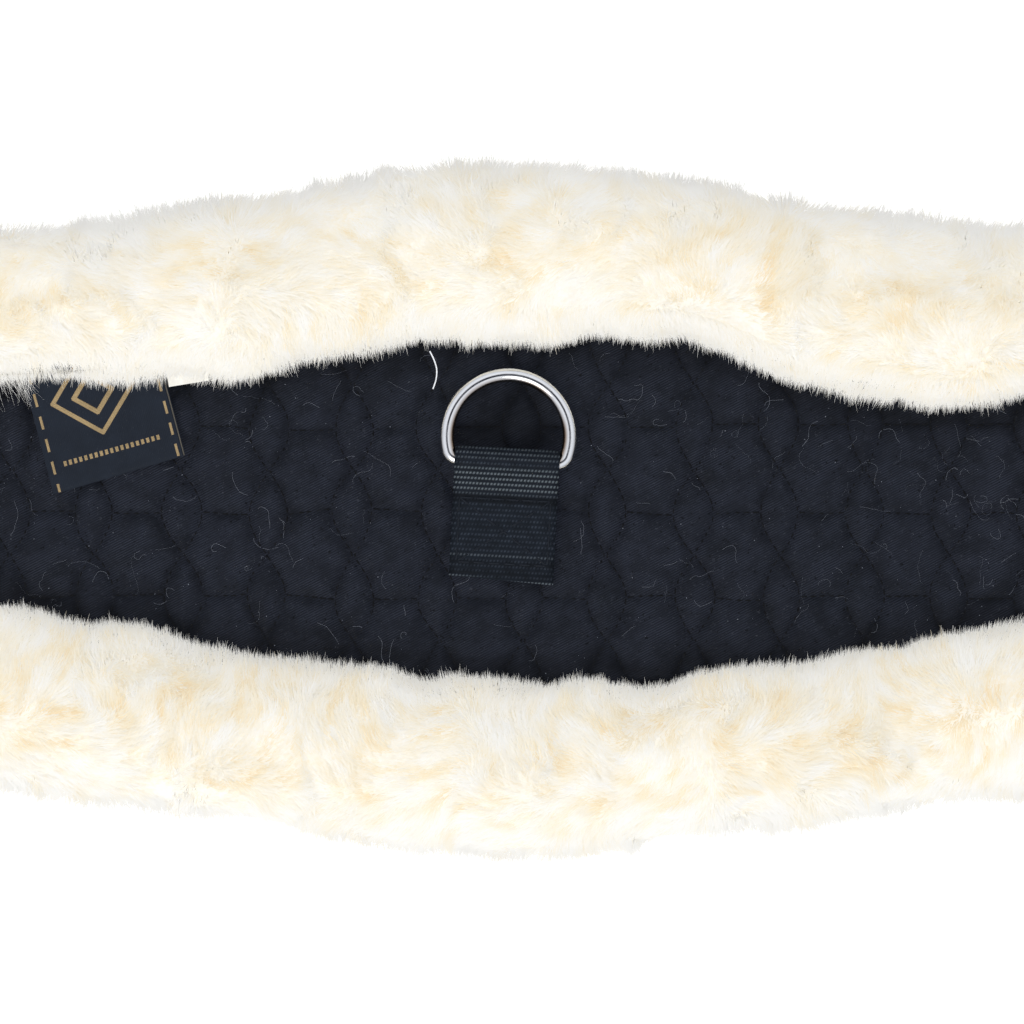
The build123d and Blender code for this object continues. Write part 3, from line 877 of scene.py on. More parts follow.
def fringe(row, rng):
    """Fine fibres along the roll's inner border that lie out over the black cover."""
    side = ROWS[row]
    count = 56000
    x = rng.uniform(-FRINGE_REACH, FRINGE_REACH, count)
    angle = np.radians(rng.uniform(134, 168, count))
    root, normal = roll_surface(x, angle, side, FRINGE_INSET)
    root[:, 2] = np.maximum(root[:, 2], TOP + 0.4)
    lean = 0.4 * lean_field(root, normal, 1.0)
    lean[:, 1] -= side * 0.9
    clump = noise(root, 2.6, 111) + 0.5 * noise(root, 7.0, 112)
    length = (2.9 if side > 0 else 2.3) * (1 + 0.2 * clump) * rng.uniform(0.55, 1.2, count)
    width = rng.uniform(0.065, 0.125, count)
    tone = 4.3 + 0.5 * rng.normal(size=count)
    droop = np.zeros_like(root)
    droop[:, 2] = -0.45 * np.clip((root[:, 2] - TOP) / 4, 0, 1)
    made = fibres(root, normal, lean, length, width, tone, rng, droop, stray=0.2)
    lay_on_cover(made[0])
    return made


def wisps(rng, x0, x1, count):
    """A thin patch of longer fibres strayed over the cover in front of the front roll."""
    x = rng.uniform(x0, x1, count)
    root, normal = roll_surface(x, np.radians(rng.uniform(140, 160, count)), 1, FRINGE_INSET)
    root[:, 2] = np.maximum(root[:, 2], TOP + 0.5)
    lean = 0.7 * lean_field(root, normal, 1.0)
    lean[:, 1] -= 1.1
    droop = np.tile([0.1, -0.1, -0.35], (count, 1))
    length = rng.uniform(3.5, 9.0, count)
    width, tone = rng.uniform(0.04, 0.07, count), np.full(count, 4.5)
    made = fibres(root, normal, lean, length, width, tone, rng, droop, stray=0.3)
    lay_on_cover(made[0])
    return made


def lining_fleece(materials, base_material):
    """The wool on the horse's side: a matted slab with a pile that lies flattened on the ground."""
    rng = np.random.default_rng(900)
    end, columns, rows = LINING_END - 5.5, 241, 61
    x = np.linspace(-end, end, columns)
    gx = np.repeat(x, rows)
    gy = ((panel_half_width(x) - 0.2)[:, None] * np.linspace(-1, 1, rows)).ravel()
    at = np.stack([gx, gy, np.zeros_like(gx)], axis=1)
    gz = 4.2 + 1.2 * noise(at, 9.0, 121) + 0.6 * noise(at, 3.5, 122)
    under = np.stack([gx, gy, gz], axis=1).reshape(columns, rows, 3)
    lid = under[:, [rows - 1, 0]].copy()
    lid[:, :, 2] = HIDE_LOW - 0.05
    around = rows + 2
    last = (columns - 1) * around
    shape = Shape()
    faces = [tuple(f) for f in grid_faces(columns, around, wrap_columns=True)]
    faces += [tuple(reversed(range(around))), tuple(range(last, last + around))]
    shape.add(np.concatenate([under, lid], axis=1), faces)
    shape.become("wool_lining_base", base_material, "pad", ["wool_lining"])

    def pile(root, facing, strength, seed, lengths, widths, droop=0.0):
        """Fibres from those roots, all on a surface that faces one way."""
        count = len(root)
        normal = np.tile(np.array(facing, float), (count, 1))
        lean = lean_field(root, normal, strength)
        length = rng.uniform(*lengths, count)
        tone = 3.2 + 0.9 * noise(root, 12.0, seed) + 0.4 * rng.normal(size=count)
        return fibres(root, normal, lean, length, rng.uniform(*widths, count), tone, rng, droop)

    count = 30000
    x = rng.uniform(-LINING_END + 4, LINING_END - 4, count)
    y = rng.uniform(-1, 1, count) * (panel_half_width(x) + 1)
    root = np.stack([x, y, np.full(count, 4.4)], axis=1)
    parts = [pile(root, (0, 0, -1), 1.9, 131, (6.0, 9.5), (0.25, 0.42))]
    droop = np.array([0.0, 0.0, -0.25])
    for end_sign in (-1, 1):
        count = 5200
        y = rng.uniform(-1, 1, count) * panel_half_width(LINING_END)
        z = rng.uniform(2.0, HIDE_LOW - 1.2, count)
        root = np.stack([np.full(count, end_sign * end), y, z], axis=1)
        parts.append(pile(root, (end_sign, 0, 0), 0.9, 132, (6.0, 9.0), (0.2, 0.36), droop))
        for side in (-1, 1):
            count = 2600
            x = end_sign * rng.uniform(ROLL_END - 12, LINING_END - 4, count)
            z = rng.uniform(2.0, HIDE_LOW - 1.2, count)
            root = np.stack([x, side * (panel_half_width(x) - 1.5), z], axis=1)
            parts.append(pile(root, (0, side, 0), 0.9, 133, (5.0, 8.5), (0.2, 0.36), droop))
    fleece_pieces("wool_lining_fleece", parts, materials)


# ------------------------------------------------------------------ D-ring and its tab
WEB_ROW = 1.19
RING_LEAN = math.radians(3.0)


def on_tab(points):
    """Points (across, along, up) in the tab's axes, from the ring's bar, carried to the frame."""
    p = np.asarray(points, float)
    return RING_PIVOT + p[:, :1] * TAB_ACROSS + p[:, 1:2] * TAB_ALONG + p[:, 2:] * np.array([0, 0, 1.0])


def d_ring(material):
    reach = math.sqrt((RING_ARC - RING_FILLET) ** 2 - (RING_DROP - RING_FILLET) ** 2)
    turn = math.degrees(math.atan2(RING_FILLET - RING_DROP, reach))
    right = arc((reach, RING_FILLET), RING_FILLET, -90, turn, 14)
    bow = arc((0, RING_DROP), RING_ARC, turn, 180 - turn, 160)
    left = arc((-reach, RING_FILLET), RING_FILLET, 180 - turn, 270, 14)
    bar = np.stack([np.linspace(-reach, reach, 24), np.zeros(24)], axis=1)
    plan = np.vstack([right, bow[1:-1], left, bar[1:-1]])
    lean = np.stack([plan[:, 0], plan[:, 1] * math.cos(RING_LEAN), -plan[:, 1] * math.sin(RING_LEAN)], axis=1)
    verts, faces = tube(on_tab(lean), RING_WIRE, sides=48, closed=True)
    shape = Shape()
    shape.add(verts, faces)
    mesh = shape.mesh("d_ring_steel", [material])
    # Painted reflection: the ring's inner side is tinted brown, in blotches.
    middle = RING_PIVOT + TAB_ALONG * RING_DROP
    radius = np.hypot((verts - middle) @ TAB_ACROSS, (verts - middle) @ TAB_ALONG) - RING_ARC
    blotch = 0.75 + 0.5 * noise(verts, 6.0, 161)
    paint(mesh, "painted_reflection", np.clip((-radius - 0.35) / 0.9, 0, 1) * blotch)
    new_object("d_ring_steel", mesh, "d_ring", ["d_ring"])


def ribbon(path, half_width, thickness, across, rib=0.0, rib_pitch=1.3):
    """A woven strap along a path given as (along, up) points: points in (across, along, up), and faces."""
    n = len(path)
    ahead = unit(np.gradient(path, axis=0))
    out = np.stack([-ahead[:, 1], ahead[:, 0]], axis=1)
    length = distance_along(path)
    ribs = rib * (np.abs(np.sin(np.pi * length / rib_pitch)) - 0.5)
    w = np.linspace(-1, 1, across)
    rounding = 1 - np.abs(w) ** 14
    top, bottom = [], []
    for k in range(across):
        half = thickness / 2 * (0.45 + 0.55 * rounding[k])
        lift = (half + ribs * (0.3 + 0.7 * rounding[k]))[:, None] * out
        top.append(np.column_stack([np.full(n, w[k] * half_width), path + lift]))
        bottom.append(np.column_stack([np.full(n, w[k] * half_width), path - lift]))
    rows = np.stack(top + bottom[::-1], axis=1)
    count = rows.shape[1]
    faces = [tuple(f) for f in grid_faces(n, count, wrap_columns=True)]
    faces.append(tuple(reversed(range(count))))
    faces.append(tuple(range((n - 1) * count, n * count)))
    return rows.reshape(-1, 3), faces


def ring_tab(material, thread):
    layer = (high("d_ring_tab_stitching")[2] - 0.3 - TOP) / 2
    loop = RING_PIVOT[2] - TOP - layer / 2
    tab_points = CAD["d_ring_tab"] - RING_PIVOT
    near = (tab_points @ TAB_ALONG).min()
    half_width = np.abs(tab_points @ TAB_ACROSS).max()
    sewn = near + 19.5
    lower_z, upper_z = TOP - RING_PIVOT[2] + layer / 2, TOP - RING_PIVOT[2] + 1.5 * layer
    slope = math.atan2(loop - upper_z, -sewn)
    lower = np.array([[near, lower_z], [0.0, lower_z]])
    turn = arc((0, 0), loop, -90, 90 + math.degrees(slope) * 0.8, 60)
    upper = np.array([[sewn, upper_z], [near, upper_z]])
    line = np.vstack([resample(lower, 60), turn[1:-1], upper])
    path = resample(line, 420)
    kernel = np.hanning(9) / np.hanning(9).sum()
    for k in range(2):
        path[:, k] = np.convolve(np.pad(path[:, k], 4, mode="edge"), kernel, mode="valid")
    verts, faces = ribbon(path, half_width, layer - 0.14, across=15, rib=0.13, rib_pitch=WEB_ROW)
    run = verts[:, 1].copy()
    # The cut end is a little askew.
    verts[:, 1] -= 0.047 * verts[:, 0] * np.clip((near + 4 - verts[:, 1]) / 4, 0, 1) ** 2
    shape = Shape()
    shape.add(on_tab(verts), faces)
    mesh = shape.mesh("d_ring_webbing", [material])
    # Rubbed where it comes down from the bar, a little over the bar, at a row near the end, and at the cut.
    upper_side = verts[:, 2] > lower_z + layer / 2 + 0.1
    rubbed = np.zeros(len(verts))
    for at, spread, amount in ((-4.7, 3.1, 1.0), (1.6, 1.6, 0.4), (near + 5.6, 0.7, 0.35), (near, 0.55, 0.9)):
        rubbed += amount * np.exp(-((np.abs(run - at) / spread) ** 6))
    rubbed = np.clip(rubbed * upper_side, 0, 1)
    far, close = near + 3.9, sewn - 0.6
    shaded = sum(
        amount * np.exp(-((np.abs(run - at) / spread) ** 4))
        for at, spread, amount in ((close, 1.0, 0.6), (far, 0.8, 0.4), (near + 1.6, 1.2, 0.35))
    )
    paint(mesh, "rubbed", rubbed)
    paint(mesh, "shaded", np.clip(shaded * upper_side, 0, 1))
    new_object("d_ring_webbing", mesh, "pad", ["d_ring_tab"])
    # Box and cross in thread, on the upper layer.
    sewing = Shape()
    top = RING_PIVOT[2] + upper_z + layer / 2 - 0.06
    w = half_width - 1.6
    corners = [(-w, far), (w, far), (w, close), (-w, close)]
    for a, b in box_and_cross(corners):
        ends = on_tab([[*a, 0], [*b, 0]])[:, :2]
        sewn_line(sewing, ends, level_at(top), pitch=3.5, fill=0.74, radius=0.22, rise=0.1)
    sewing.become("d_ring_webbing_stitching", thread, "pad", ["d_ring_tab_stitching"])


# ------------------------------------------------------------------ labels
def label_axes(node):
    """A label's free corner, its two directions in plan, and its width and length."""
    points = CAD[node]
    corner = points[points[:, 1].argmin()][:2]
    right = points[points[:, 0].argmax()][:2]
    across = unit(right - corner)
    along = np.array([-across[1], across[0]])
    width = (points[:, :2] - corner) @ across
    length = (points[:, :2] - corner) @ along
    return corner, across, along, width.max(), length.max()


def labels(cloth, figure, edge, care):
    """The woven label, folded at its sewn end, with plain figures where a mark and wording would be."""
    corner, across, along, width, length = label_axes("woven_label")
    upper_width = width - 0.55

    def place(p):
        p = np.asarray(p, float)
        # The folded end is sewn a little askew, so it rises towards its right corner.
        v = p[:, 1:2] + 0.024 * p[:, :1] * np.clip(1 - p[:, 1:2] / 12, 0, 1)
        plan = corner + p[:, :1] * across + v * along
        return np.column_stack([plan, TOP + p[:, 2]])

    def surface(u, v):
        """Height of the label's upper face: the fold is round and the free end lifts a little."""
        lift = 0.75 * np.exp(-((v / 9.0) ** 2))
        lift = lift + 0.35 * np.exp(-((v / 14.0) ** 2)) * (u / width - 0.5) ** 2 * 4
        return 0.78 + lift

    shape = Shape()
    rows, columns = 71, 49
    gv, gu = np.meshgrid(np.linspace(0, length, rows), np.linspace(0, upper_width, columns), indexing="ij")
    fold = 0.38 * (1 - np.sqrt(np.clip(1 - (1 - np.clip(gv / 0.6, 0, 1)) ** 2, 0, 1)))
    z = surface(gu, gv) - fold
    shape.add(place(np.stack([gu, gv, z], axis=2).reshape(-1, 3)), grid_faces(rows, columns))
    under = np.maximum(z - 0.42 + fold * 1.4, 0.12)
    lower = np.stack([gu * width / upper_width, gv + 0.06, under], axis=2)
    shape.add(place(lower.reshape(-1, 3)), turned(grid_faces(rows, columns), True))
    shape.become("woven_label_cloth", cloth, "pad", ["woven_label"])

    def bar(shape, centre, half_u, half_v, turn=0.0, cells=6):
        """A small raised patch of tan thread."""
        c, s = math.cos(turn), math.sin(turn)
        e = np.linspace(-1, 1, cells)
        ev, eu = np.meshgrid(e * half_v, e * half_u, indexing="ij")
        u = centre[0] + eu * c - ev * s
        v = centre[1] + eu * s + ev * c
        crown = 0.09 * (1 - np.maximum(np.abs(ev) / half_v, np.abs(eu) / half_u) ** 6) + 0.01
        p = np.stack([u, v, surface(u, v) + crown], axis=2).reshape(-1, 3)
        shape.add(place(p), grid_faces(cells, cells))

    figures = Shape()
    for u, start in ((1.5, 0.5), (width - 1.6, 1.9)):
        for k in range(6):
            near, far = max(start + 5.45 * k - 1.55, 0.1), start + 5.45 * k + 1.55
            bar(figures, (u, (near + far) / 2), 0.3, (far - near) / 2)
    # A plain lozenge with a smaller one inside, and a row of short bars where wording would be.
    middle = np.array([width / 2 - 1.2, 20.4])
    for size, thick in ((9.7, 0.5), (4.6, 0.55)):
        tips = middle + np.array([[size, 0], [0, size * 0.97], [-size, 0], [0, -size * 0.97]])
        for a, b in zip(tips, np.roll(tips, -1, axis=0)):
            d = b - a
            half = np.linalg.norm(d) / 2 + thick * 0.6
            bar(figures, (a + b) / 2, half, thick, math.atan2(d[1], d[0]), cells=10)
    for k in range(19):
        bar(figures, (4.4 + 1.25 * k, 6.2), 0.36, 0.6, cells=5)
    figures.become("woven_label_figures", figure, "pad")
    # The under layer's selvedge, which shows beside the upper layer.
    side = Shape()
    v = np.linspace(0.1, length, 60)
    path = place(np.stack([np.full(60, width - 0.3), v, surface(np.full(60, width), v) - 0.2], axis=1))
    side.add(*tube(path, 0.16, sides=6))
    side.become("woven_label_selvedge", edge, "pad")
    care_label(care)


def care_label(cloth):
    """A small plain tape beside the woven label, whose lower edge shows under the front roll."""
    corner, across, along, width, length = label_axes("care_label")
    rows, columns = 27, 25
    gv, gu = np.meshgrid(np.linspace(0, length, rows), np.linspace(0, width, columns), indexing="ij")
    plan = corner + gu.reshape(-1, 1) * across + gv.reshape(-1, 1) * along
    z = TOP + 0.3 + 0.25 * np.exp(-((gv / 4.0) ** 2)).ravel() + 0.05 * np.sin(gu * 0.9).ravel()
    plain = Shape()
    plain.add(np.column_stack([plan, z]), grid_faces(rows, columns))
    plain.add(np.column_stack([plan, z - 0.22]), turned(grid_faces(rows, columns), True))
    plain.become("care_label_cloth", cloth, "pad", ["care_label"])


# ------------------------------------------------------------------ lint and the stray thread
def lint(pale, white):
    """Stray wool on the cover: short curled hairs, many of them in tangles, and specks."""
    rng = np.random.default_rng(41)
    shape = Shape()
    tangles = np.column_stack([rng.uniform(-195, 195, 34), rng.uniform(-0.85, 0.85, 34)])
    ring_middle = RING_PIVOT[:2] + TAB_ALONG[:2] * RING_DROP

    def bare(x, y):
        """True where the ring and its tab keep the lint off."""
        by_ring = np.hypot(*(np.array([x, y]) - ring_middle)) < 19
        return by_ring or (abs(x - RING_PIVOT[0]) < 17 and -19 < y < 12)

    for _ in range(330):
        tangled = rng.random() < 0.4
        if tangled:
            x, share = tangles[rng.integers(34)] + rng.normal(size=2) * [2.6, 0.07]
        else:
            x, share = rng.uniform(-198, 198), rng.uniform(-1, 1)
        y = np.clip(share, -1, 1) * (panel_half_width(x) - 6)
        heading, step = rng.uniform(0, 2 * np.pi), rng.uniform(0.35, 0.95)
        line = [np.array([x, y])]
        turning = rng.normal() * 0.12
        for _ in range(rng.integers(4, 12)):
            turning = 0.5 * turning + rng.normal() * (0.5 if tangled else 0.28)
            heading += turning
            line.append(line[-1] + step * np.array([math.cos(heading), math.sin(heading)]))
        radius = rng.uniform(0.006, 0.024)
        if bare(x, y):
            continue
        plan = resample(np.array(line), 3 * len(line))
        z = cover_height(plan[:, 0], plan[:, 1]) + 0.06 + 0.1 * rng.random()
        shape.add(*tube(np.column_stack([plan, z]), radius, sides=4))
    for _ in range(620):
        x = rng.uniform(-200, 200)
        y = rng.uniform(-1, 1) * (panel_half_width(x) - 6)
        a = rng.uniform(0, np.pi)
        size = 0.035 + 0.09 * rng.random() ** 3
        if bare(x, y):
            continue
        z = cover_height(np.array([x]), np.array([y]))[0] + 0.06
        d = size * np.array([math.cos(a), math.sin(a), 0])
        speck = np.array([[x, y, z] - d, [x, y, z + 0.04], [x, y, z] + d])
        shape.add(*tube(speck, np.array([0.4, 0.9, 0.4]) * size, sides=5))
    shape.become("wool_lint", pale, "pad")
    stray = Shape()
    plan = smooth_line([(-19.2, 37.6), (-18.2, 35.5), (-17.6, 33.3), (-17.8, 30.9), (-18.5, 28.8)], 40)
    z = cover_height(plan[:, 0], plan[:, 1]) + 0.35
    stray.add(*tube(np.column_stack([plan, z]), 0.17, sides=8))
    stray.become("stray_wool_strand", white, "pad")


# ------------------------------------------------------------------ pad ends
def end_patches(leather, thread):
    """Leather over each end of the pad, with a box of stitches under each strap and a line by its edge."""
    nx, ny, corner = 85, 157, 9.0
    for end, sx in ENDS.items():
        box_low, box_high = low(f"{end}_end_patch"), high(f"{end}_end_patch")
        x = np.linspace(box_low[0], box_high[0], nx)
        y = np.linspace(box_low[1], box_high[1], ny)
        gx, gy = np.meshgrid(x, y, indexing="ij")
        from_inner = np.abs(gx - (box_low[0] if sx > 0 else box_high[0]))
        # Corners are rounded by drawing the inner rows in along a quarter circle.
        rounded = corner - np.sqrt(np.maximum(corner**2 - (corner - from_inner) ** 2, 0))
        cut = np.where(from_inner < corner, rounded, 0)
        half = box_high[1]
        gy = gy * (half - cut) / half
        edge = np.minimum(from_inner, np.abs(half - cut - np.abs(gy)))
        z = PATCH_TOP - 0.1 - 0.75 * np.exp(-edge / 0.55)
        p = np.stack([gx.ravel(), gy.ravel(), 0 * gx.ravel()], axis=1)
        z = z.ravel() + 0.08 * noise(p, 12.0, 141)
        x0, x1 = sorted((sx * (PAD_END - 11.5), sx * (PAD_END - 38.0)))
        lines = []
        for c in (-22.0, 22.0):
            lines += box_and_cross([(x0, c - 12.5), (x1, c - 12.5), (x1, c + 12.5), (x0, c + 12.5)])
        rim = sx * (PAD_END - 39.8)
        lines.append(((rim, -28.0), (rim, 28.0)))
        for a, b in lines:
            d = np.subtract(b, a)
            t = np.clip(((p[:, :2] - a) @ d) / (d @ d), 0, 1)
            gap = np.linalg.norm(p[:, :2] - a - t[:, None] * d, axis=1)
            z -= 0.28 * np.exp(-((gap / 0.7) ** 2))
        points = np.stack([gx.ravel(), gy.ravel(), z], axis=1)
        shape = Shape()
        shape.add(points, turned(grid_faces(nx, ny), True))
        # A rim down to the cover along the three free edges.
        grid = points.reshape(nx, ny, 3)
        inward = grid[::-1] if sx > 0 else grid
        border = np.concatenate([inward[:, 0], inward[-1], inward[::-1, -1]])
        foot = np.column_stack([border[:, :2], np.full(len(border), TOP - 0.3)])
        shape.add(np.stack([border, foot], axis=1), grid_faces(len(border), 2))
        shape.become(f"{end}_patch_leather", leather, "pad", [f"{end}_end_patch"])
        sewing = Shape()
        for line in lines:
            sewn_line(sewing, line, level_at(PATCH_TOP - 0.3), pitch=3.0, radius=0.24, rise=0.2)
        sewing.become(f"{end}_patch_stitching", thread, "pad", [f"{end}_end_stitching"])


def end_bindings(tape, thread):
    """Tape folded round each end of the pad and sewn through."""
    inner_x, _, low_z = low("right_end_binding")
    outer_x, half, high_z = high("right_end_binding")
    middle, r = (low_z + high_z) / 2, 2.4
    profile = np.vstack([
        [[inner_x, high_z - 0.75]], [[inner_x + 0.1, high_z - 0.2]], [[inner_x + 0.7, high_z]],
        arc((outer_x - r, high_z - r), r, 90, 0, 10),
        arc((outer_x - r, low_z + r), r, 0, -90, 10),
        [[inner_x + 0.7, low_z]], [[inner_x + 0.1, low_z + 0.2]], [[inner_x, low_z + 0.75]],
    ])
    profile = resample(profile, 90)
    n = len(profile)
    y = np.linspace(-half, half, 175)

    def sink(y):
        """How far the tape sinks where the patch ends, near the pad's corners."""
        return 1.15 * ease(y, 38.4, 40.2)

    for end, sx in ENDS.items():
        rows = []
        for value in y:
            pinch = 1 - 0.12 * np.exp(-(half - abs(value)) / 1.2)
            p = profile.copy()
            p[:, 1] = middle + (p[:, 1] - middle) * pinch
            p[:, 1] = np.where(p[:, 1] > middle + 3, p[:, 1] - sink(value), p[:, 1])
            ripple = 0.07 * math.sin(value * 2 * math.pi / 3.1)
            p[:, 0] = p[:, 0] + np.where(p[:, 0] > outer_x - 1.0, ripple * 0.5, 0)
            rows.append(np.column_stack([sx * p[:, 0], np.full(n, value), p[:, 1]]))
        faces = turned([tuple(f) for f in grid_faces(len(y), n)], sx > 0)
        faces += [tuple(range(n)), tuple(reversed(range((len(y) - 1) * n, len(y) * n)))]
        shape = Shape()
        shape.add(np.stack(rows), faces)
        shape.become(f"{end}_binding_tape", tape, "pad", [f"{end}_end_binding"])
        sewing = Shape()
        seam = [(sx * (inner_x + 1.8), -half + 1.5), (sx * (inner_x + 1.8), half - 1.5)]
        sewn_line(sewing, seam, lambda u, v: high_z + 0.02 - sink(v), pitch=3.0, radius=0.22, rise=0.18)
        sewing.become(f"{end}_binding_stitching", thread, "pad")


# ------------------------------------------------------------------ straps and buckles
def joint_place(name):
    return np.array(JOINTS[name]["pos_m"]) / MM


def on_strap(sx, origin, points):
    """From (across, outward X, Z) about an origin given in the same way, to the frame."""
    across, out, up = (np.asarray(points, float) + origin).T
    return np.column_stack([sx * out, across, up])


def strap_path(hinge, bar):
    """Centre line of the elastic in (outward X, Z): out of the pad, down in an S, and level at the buckle."""
    neck = abs(bar[0]) - 10.0
    run, drop = neck - abs(hinge[0]), hinge[2] - bar[2]
    turn = 2 * math.atan(drop / run)
    radius = run / (2 * math.sin(turn))
    angle = math.degrees(turn)
    first = arc((abs(hinge[0]), hinge[2] - radius), radius, 90, 90 - angle, 40)
    second = arc((neck, bar[2] + radius), radius, 270 - angle, 270, 40)
    root = np.array([[abs(hinge[0]) - 5.0, hinge[2]]])
    return np.vstack([root, first, second[1:]])


def elastic_strip(path):
    """Doubled elastic with fine crimps across it; points in (across, outward X, Z), and faces."""
    n = len(path)
    ahead = unit(np.gradient(path, axis=0))
    out = np.stack([-ahead[:, 1], ahead[:, 0]], axis=1)
    crimp = 0.11 * np.sin(2 * np.pi * distance_along(path) / 1.15)
    w = np.linspace(-1, 1, 33)
    cords = 0.05 * np.cos(w * np.pi * 13)
    edge = np.clip((1 - np.abs(w)) * STRAP_HALF_WIDTH / 0.9, 0, 1)
    rounding = np.sqrt(1 - (1 - edge) ** 2)
    half = (STRAP_HIGH - STRAP_LOW - 0.25) / 2
    sides = []
    for sign in (1, -1):
        order = range(len(w))[::sign]
        for k in order:
            h = (half * (0.5 + 0.5 * rounding[k]) + (crimp + cords[k]) * rounding[k])[:, None]
            sides.append(np.column_stack([np.full(n, w[k] * STRAP_HALF_WIDTH), path + sign * h * out]))
        # The line between the two layers shows as a notch along the strap's edge.
        sides.append(np.column_stack([np.full(n, w[order[-1]] * (STRAP_HALF_WIDTH - 0.55)), path]))
    rows = np.stack(sides, axis=1)
    return rows.reshape(-1, 3), [tuple(f) for f in grid_faces(n, len(sides), wrap_columns=True)]


def straps(elastic_cloth, thread, steel, roller_steel):
    for end, sx in ENDS.items():
        for row in ROWS:
            name = f"{end}_{row}"
            hinge, bar = joint_place(f"{name}_strap_lift"), joint_place(f"{name}_buckle_swing")
            out, y, z = abs(hinge[0]), hinge[1] * MM, hinge[2] * MM
            path = resample(strap_path(hinge, bar), 260)
            cut = int(np.searchsorted(path[:, 0], out + 14.0))
            pieces = {
                # its line, the two bodies it joins, and where it starts and stops bending between them
                "root": (path[: cut + 1], "pad", f"{name}_strap", out - 1.2, out + 9.0),
                "reach": (path[cut:], f"{name}_strap", f"{name}_loop", out + 15.0, abs(bar[0]) - 10.5),
            }
            for part, (line, a, b, start, finish) in pieces.items():
                verts, faces = elastic_strip(line)
                shape = Shape()
                shape.add(on_strap(sx, (hinge[1], 0, 0), verts), turned(faces, sx < 0))
                obj = shape.become(f"{name}_elastic_{part}", elastic_cloth, None)
                if part == "root":
                    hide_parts(f"{name}_elastic", f"{name}_elastic_root")
                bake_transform(obj)
            at_bar = np.array([hinge[1], abs(bar[0]), bar[2]])
            at_roller = np.array([hinge[1], abs(joint_place(f"{name}_roller_spin")[0]), bar[2]])
            loop_piece(name, sx, at_bar, elastic_cloth, thread)
            buckle_frame(name, sx, at_bar, at_roller, steel)
            roller(name, sx, at_roller, roller_steel)
            tongue(name, sx, at_bar, at_roller, steel)


def loop_piece(name, sx, at_bar, cloth, thread):
    """The elastic's fold round the buckle's bar, in two lobes with the tongue's slot between them."""
    mid, ply, back, lobes = 3.33, 1.05, -10.0, (-8.8, 8.8)
    tilt = math.degrees(math.asin((mid - ply) / math.hypot(back, ply)))
    over = arc((0, 0), mid, 90 + tilt, -90 - tilt, 46)
    path = resample(np.vstack([[[back - 0.3, ply]], over, [[back - 0.3, -ply]]]), 120)
    shape = Shape()
    for centre in lobes:
        verts, faces = ribbon(path, 6.2, 1.95, across=9, rib=0.12, rib_pitch=1.15)
        shape.add(on_strap(sx, at_bar + [centre, 0, 0], verts), turned(faces, sx < 0))
    neck = np.array([[-10.6, 0.0], [-10.1, 0.0], [-9.6, 0.0], [-9.3, 0.0]])
    verts, faces = ribbon(neck, STRAP_HALF_WIDTH - 0.1, 4.0, across=9)
    shape.add(on_strap(sx, at_bar, verts), turned(faces, sx < 0))
    shape.become(f"{name}_loop_cloth", cloth, f"{name}_loop", [f"{name}_elastic_loop"])
    sewing = Shape()
    for centre in lobes:
        for x in (-8.4, -6.6):
            rise = 2.15 + (x - back) * (mid - ply) / 10.0 * 0.92
            at = sx * (at_bar[1] + x)
            ends = [(at, at_bar[0] + centre - 5.2), (at, at_bar[0] + centre + 5.2)]
            sewn_line(sewing, ends, level_at(at_bar[2] + rise), pitch=2.2, radius=0.24)
    sewing.become(f"{name}_loop_stitching", thread, f"{name}_loop")


def buckle_frame(name, sx, at_bar, at_roller, steel):
    """A ring of wire with straight sides and rounded corners."""
    wire, r = 2.25, 3.0
    width = high(f"{name}_buckle_frame")[1] - low(f"{name}_buckle_frame")[1] - 2 * wire
    hx, hy = (at_roller[1] - at_bar[1]) / 2, width / 2
    plan = np.vstack([
        arc((hx - r, hy - r), r, 0, 90, 14), arc((-hx + r, hy - r), r, 90, 180, 14),
        arc((-hx + r, -hy + r), r, 180, 270, 14), arc((hx - r, -hy + r), r, 270, 360, 14),
    ])
    plan = resample(np.vstack([plan, plan[:1]]), 181)[:-1]
    path = on_strap(sx, at_bar + [0, hx, 0], np.column_stack([plan[:, 1], plan[:, 0], np.zeros(len(plan))]))
    verts, faces = tube(path, wire, sides=24, closed=True)
    shape = Shape()
    shape.add(verts, turned(faces, sx < 0))
    shape.become(f"{name}_frame_steel", steel, f"{name}_buckle", [f"{name}_buckle_frame"])


def lathe(profile, sx, origin, seam=0.0):
    """A closed profile of (across, radius) turned about a strap's cross axis, with a seam that deep."""
    across, out, up = origin
    angles = np.radians(np.arange(0, 360, 7.5))
    points = []
    for a in angles:
        groove = seam * math.exp(-((min(a, 2 * math.pi - a) / 0.07) ** 2))
        for p, q in profile:
            radius = q - (groove if q > 3 else 0)
            points.append((sx * (out + radius * math.cos(a)), across + p, up + radius * math.sin(a)))
    return points, grid_faces(len(angles), len(profile), wrap_rows=True, wrap_columns=True)


def roller(name, sx, at_roller, steel):
    """A tube of rolled sheet whose lips turn in slightly, with a shallow groove where the sheet meets."""
    half = (high(f"{name}_buckle_roller")[1] - low(f"{name}_buckle_roller")[1]) / 2
    outer, inner = 3.5, 2.36
    lip = [(half - 0.5, inner), (half - 0.08, inner + 0.25), (half, inner + 0.55)]
    lip += [(half - 0.08, outer - 0.28), (half - 0.45, outer)]
    far_lip = [(-p, q) for p, q in reversed(lip)]
    barrel = [(p, outer) for p in np.linspace(half - 1.5, -half + 1.5, 9)]
    shape = Shape()
    shape.add(*lathe([far_lip[-1], *lip, *barrel, *far_lip[:-1]], sx, at_roller, seam=0.16))
    shape.become(f"{name}_roller_steel", steel, f"{name}_roller", [f"{name}_buckle_roller"])


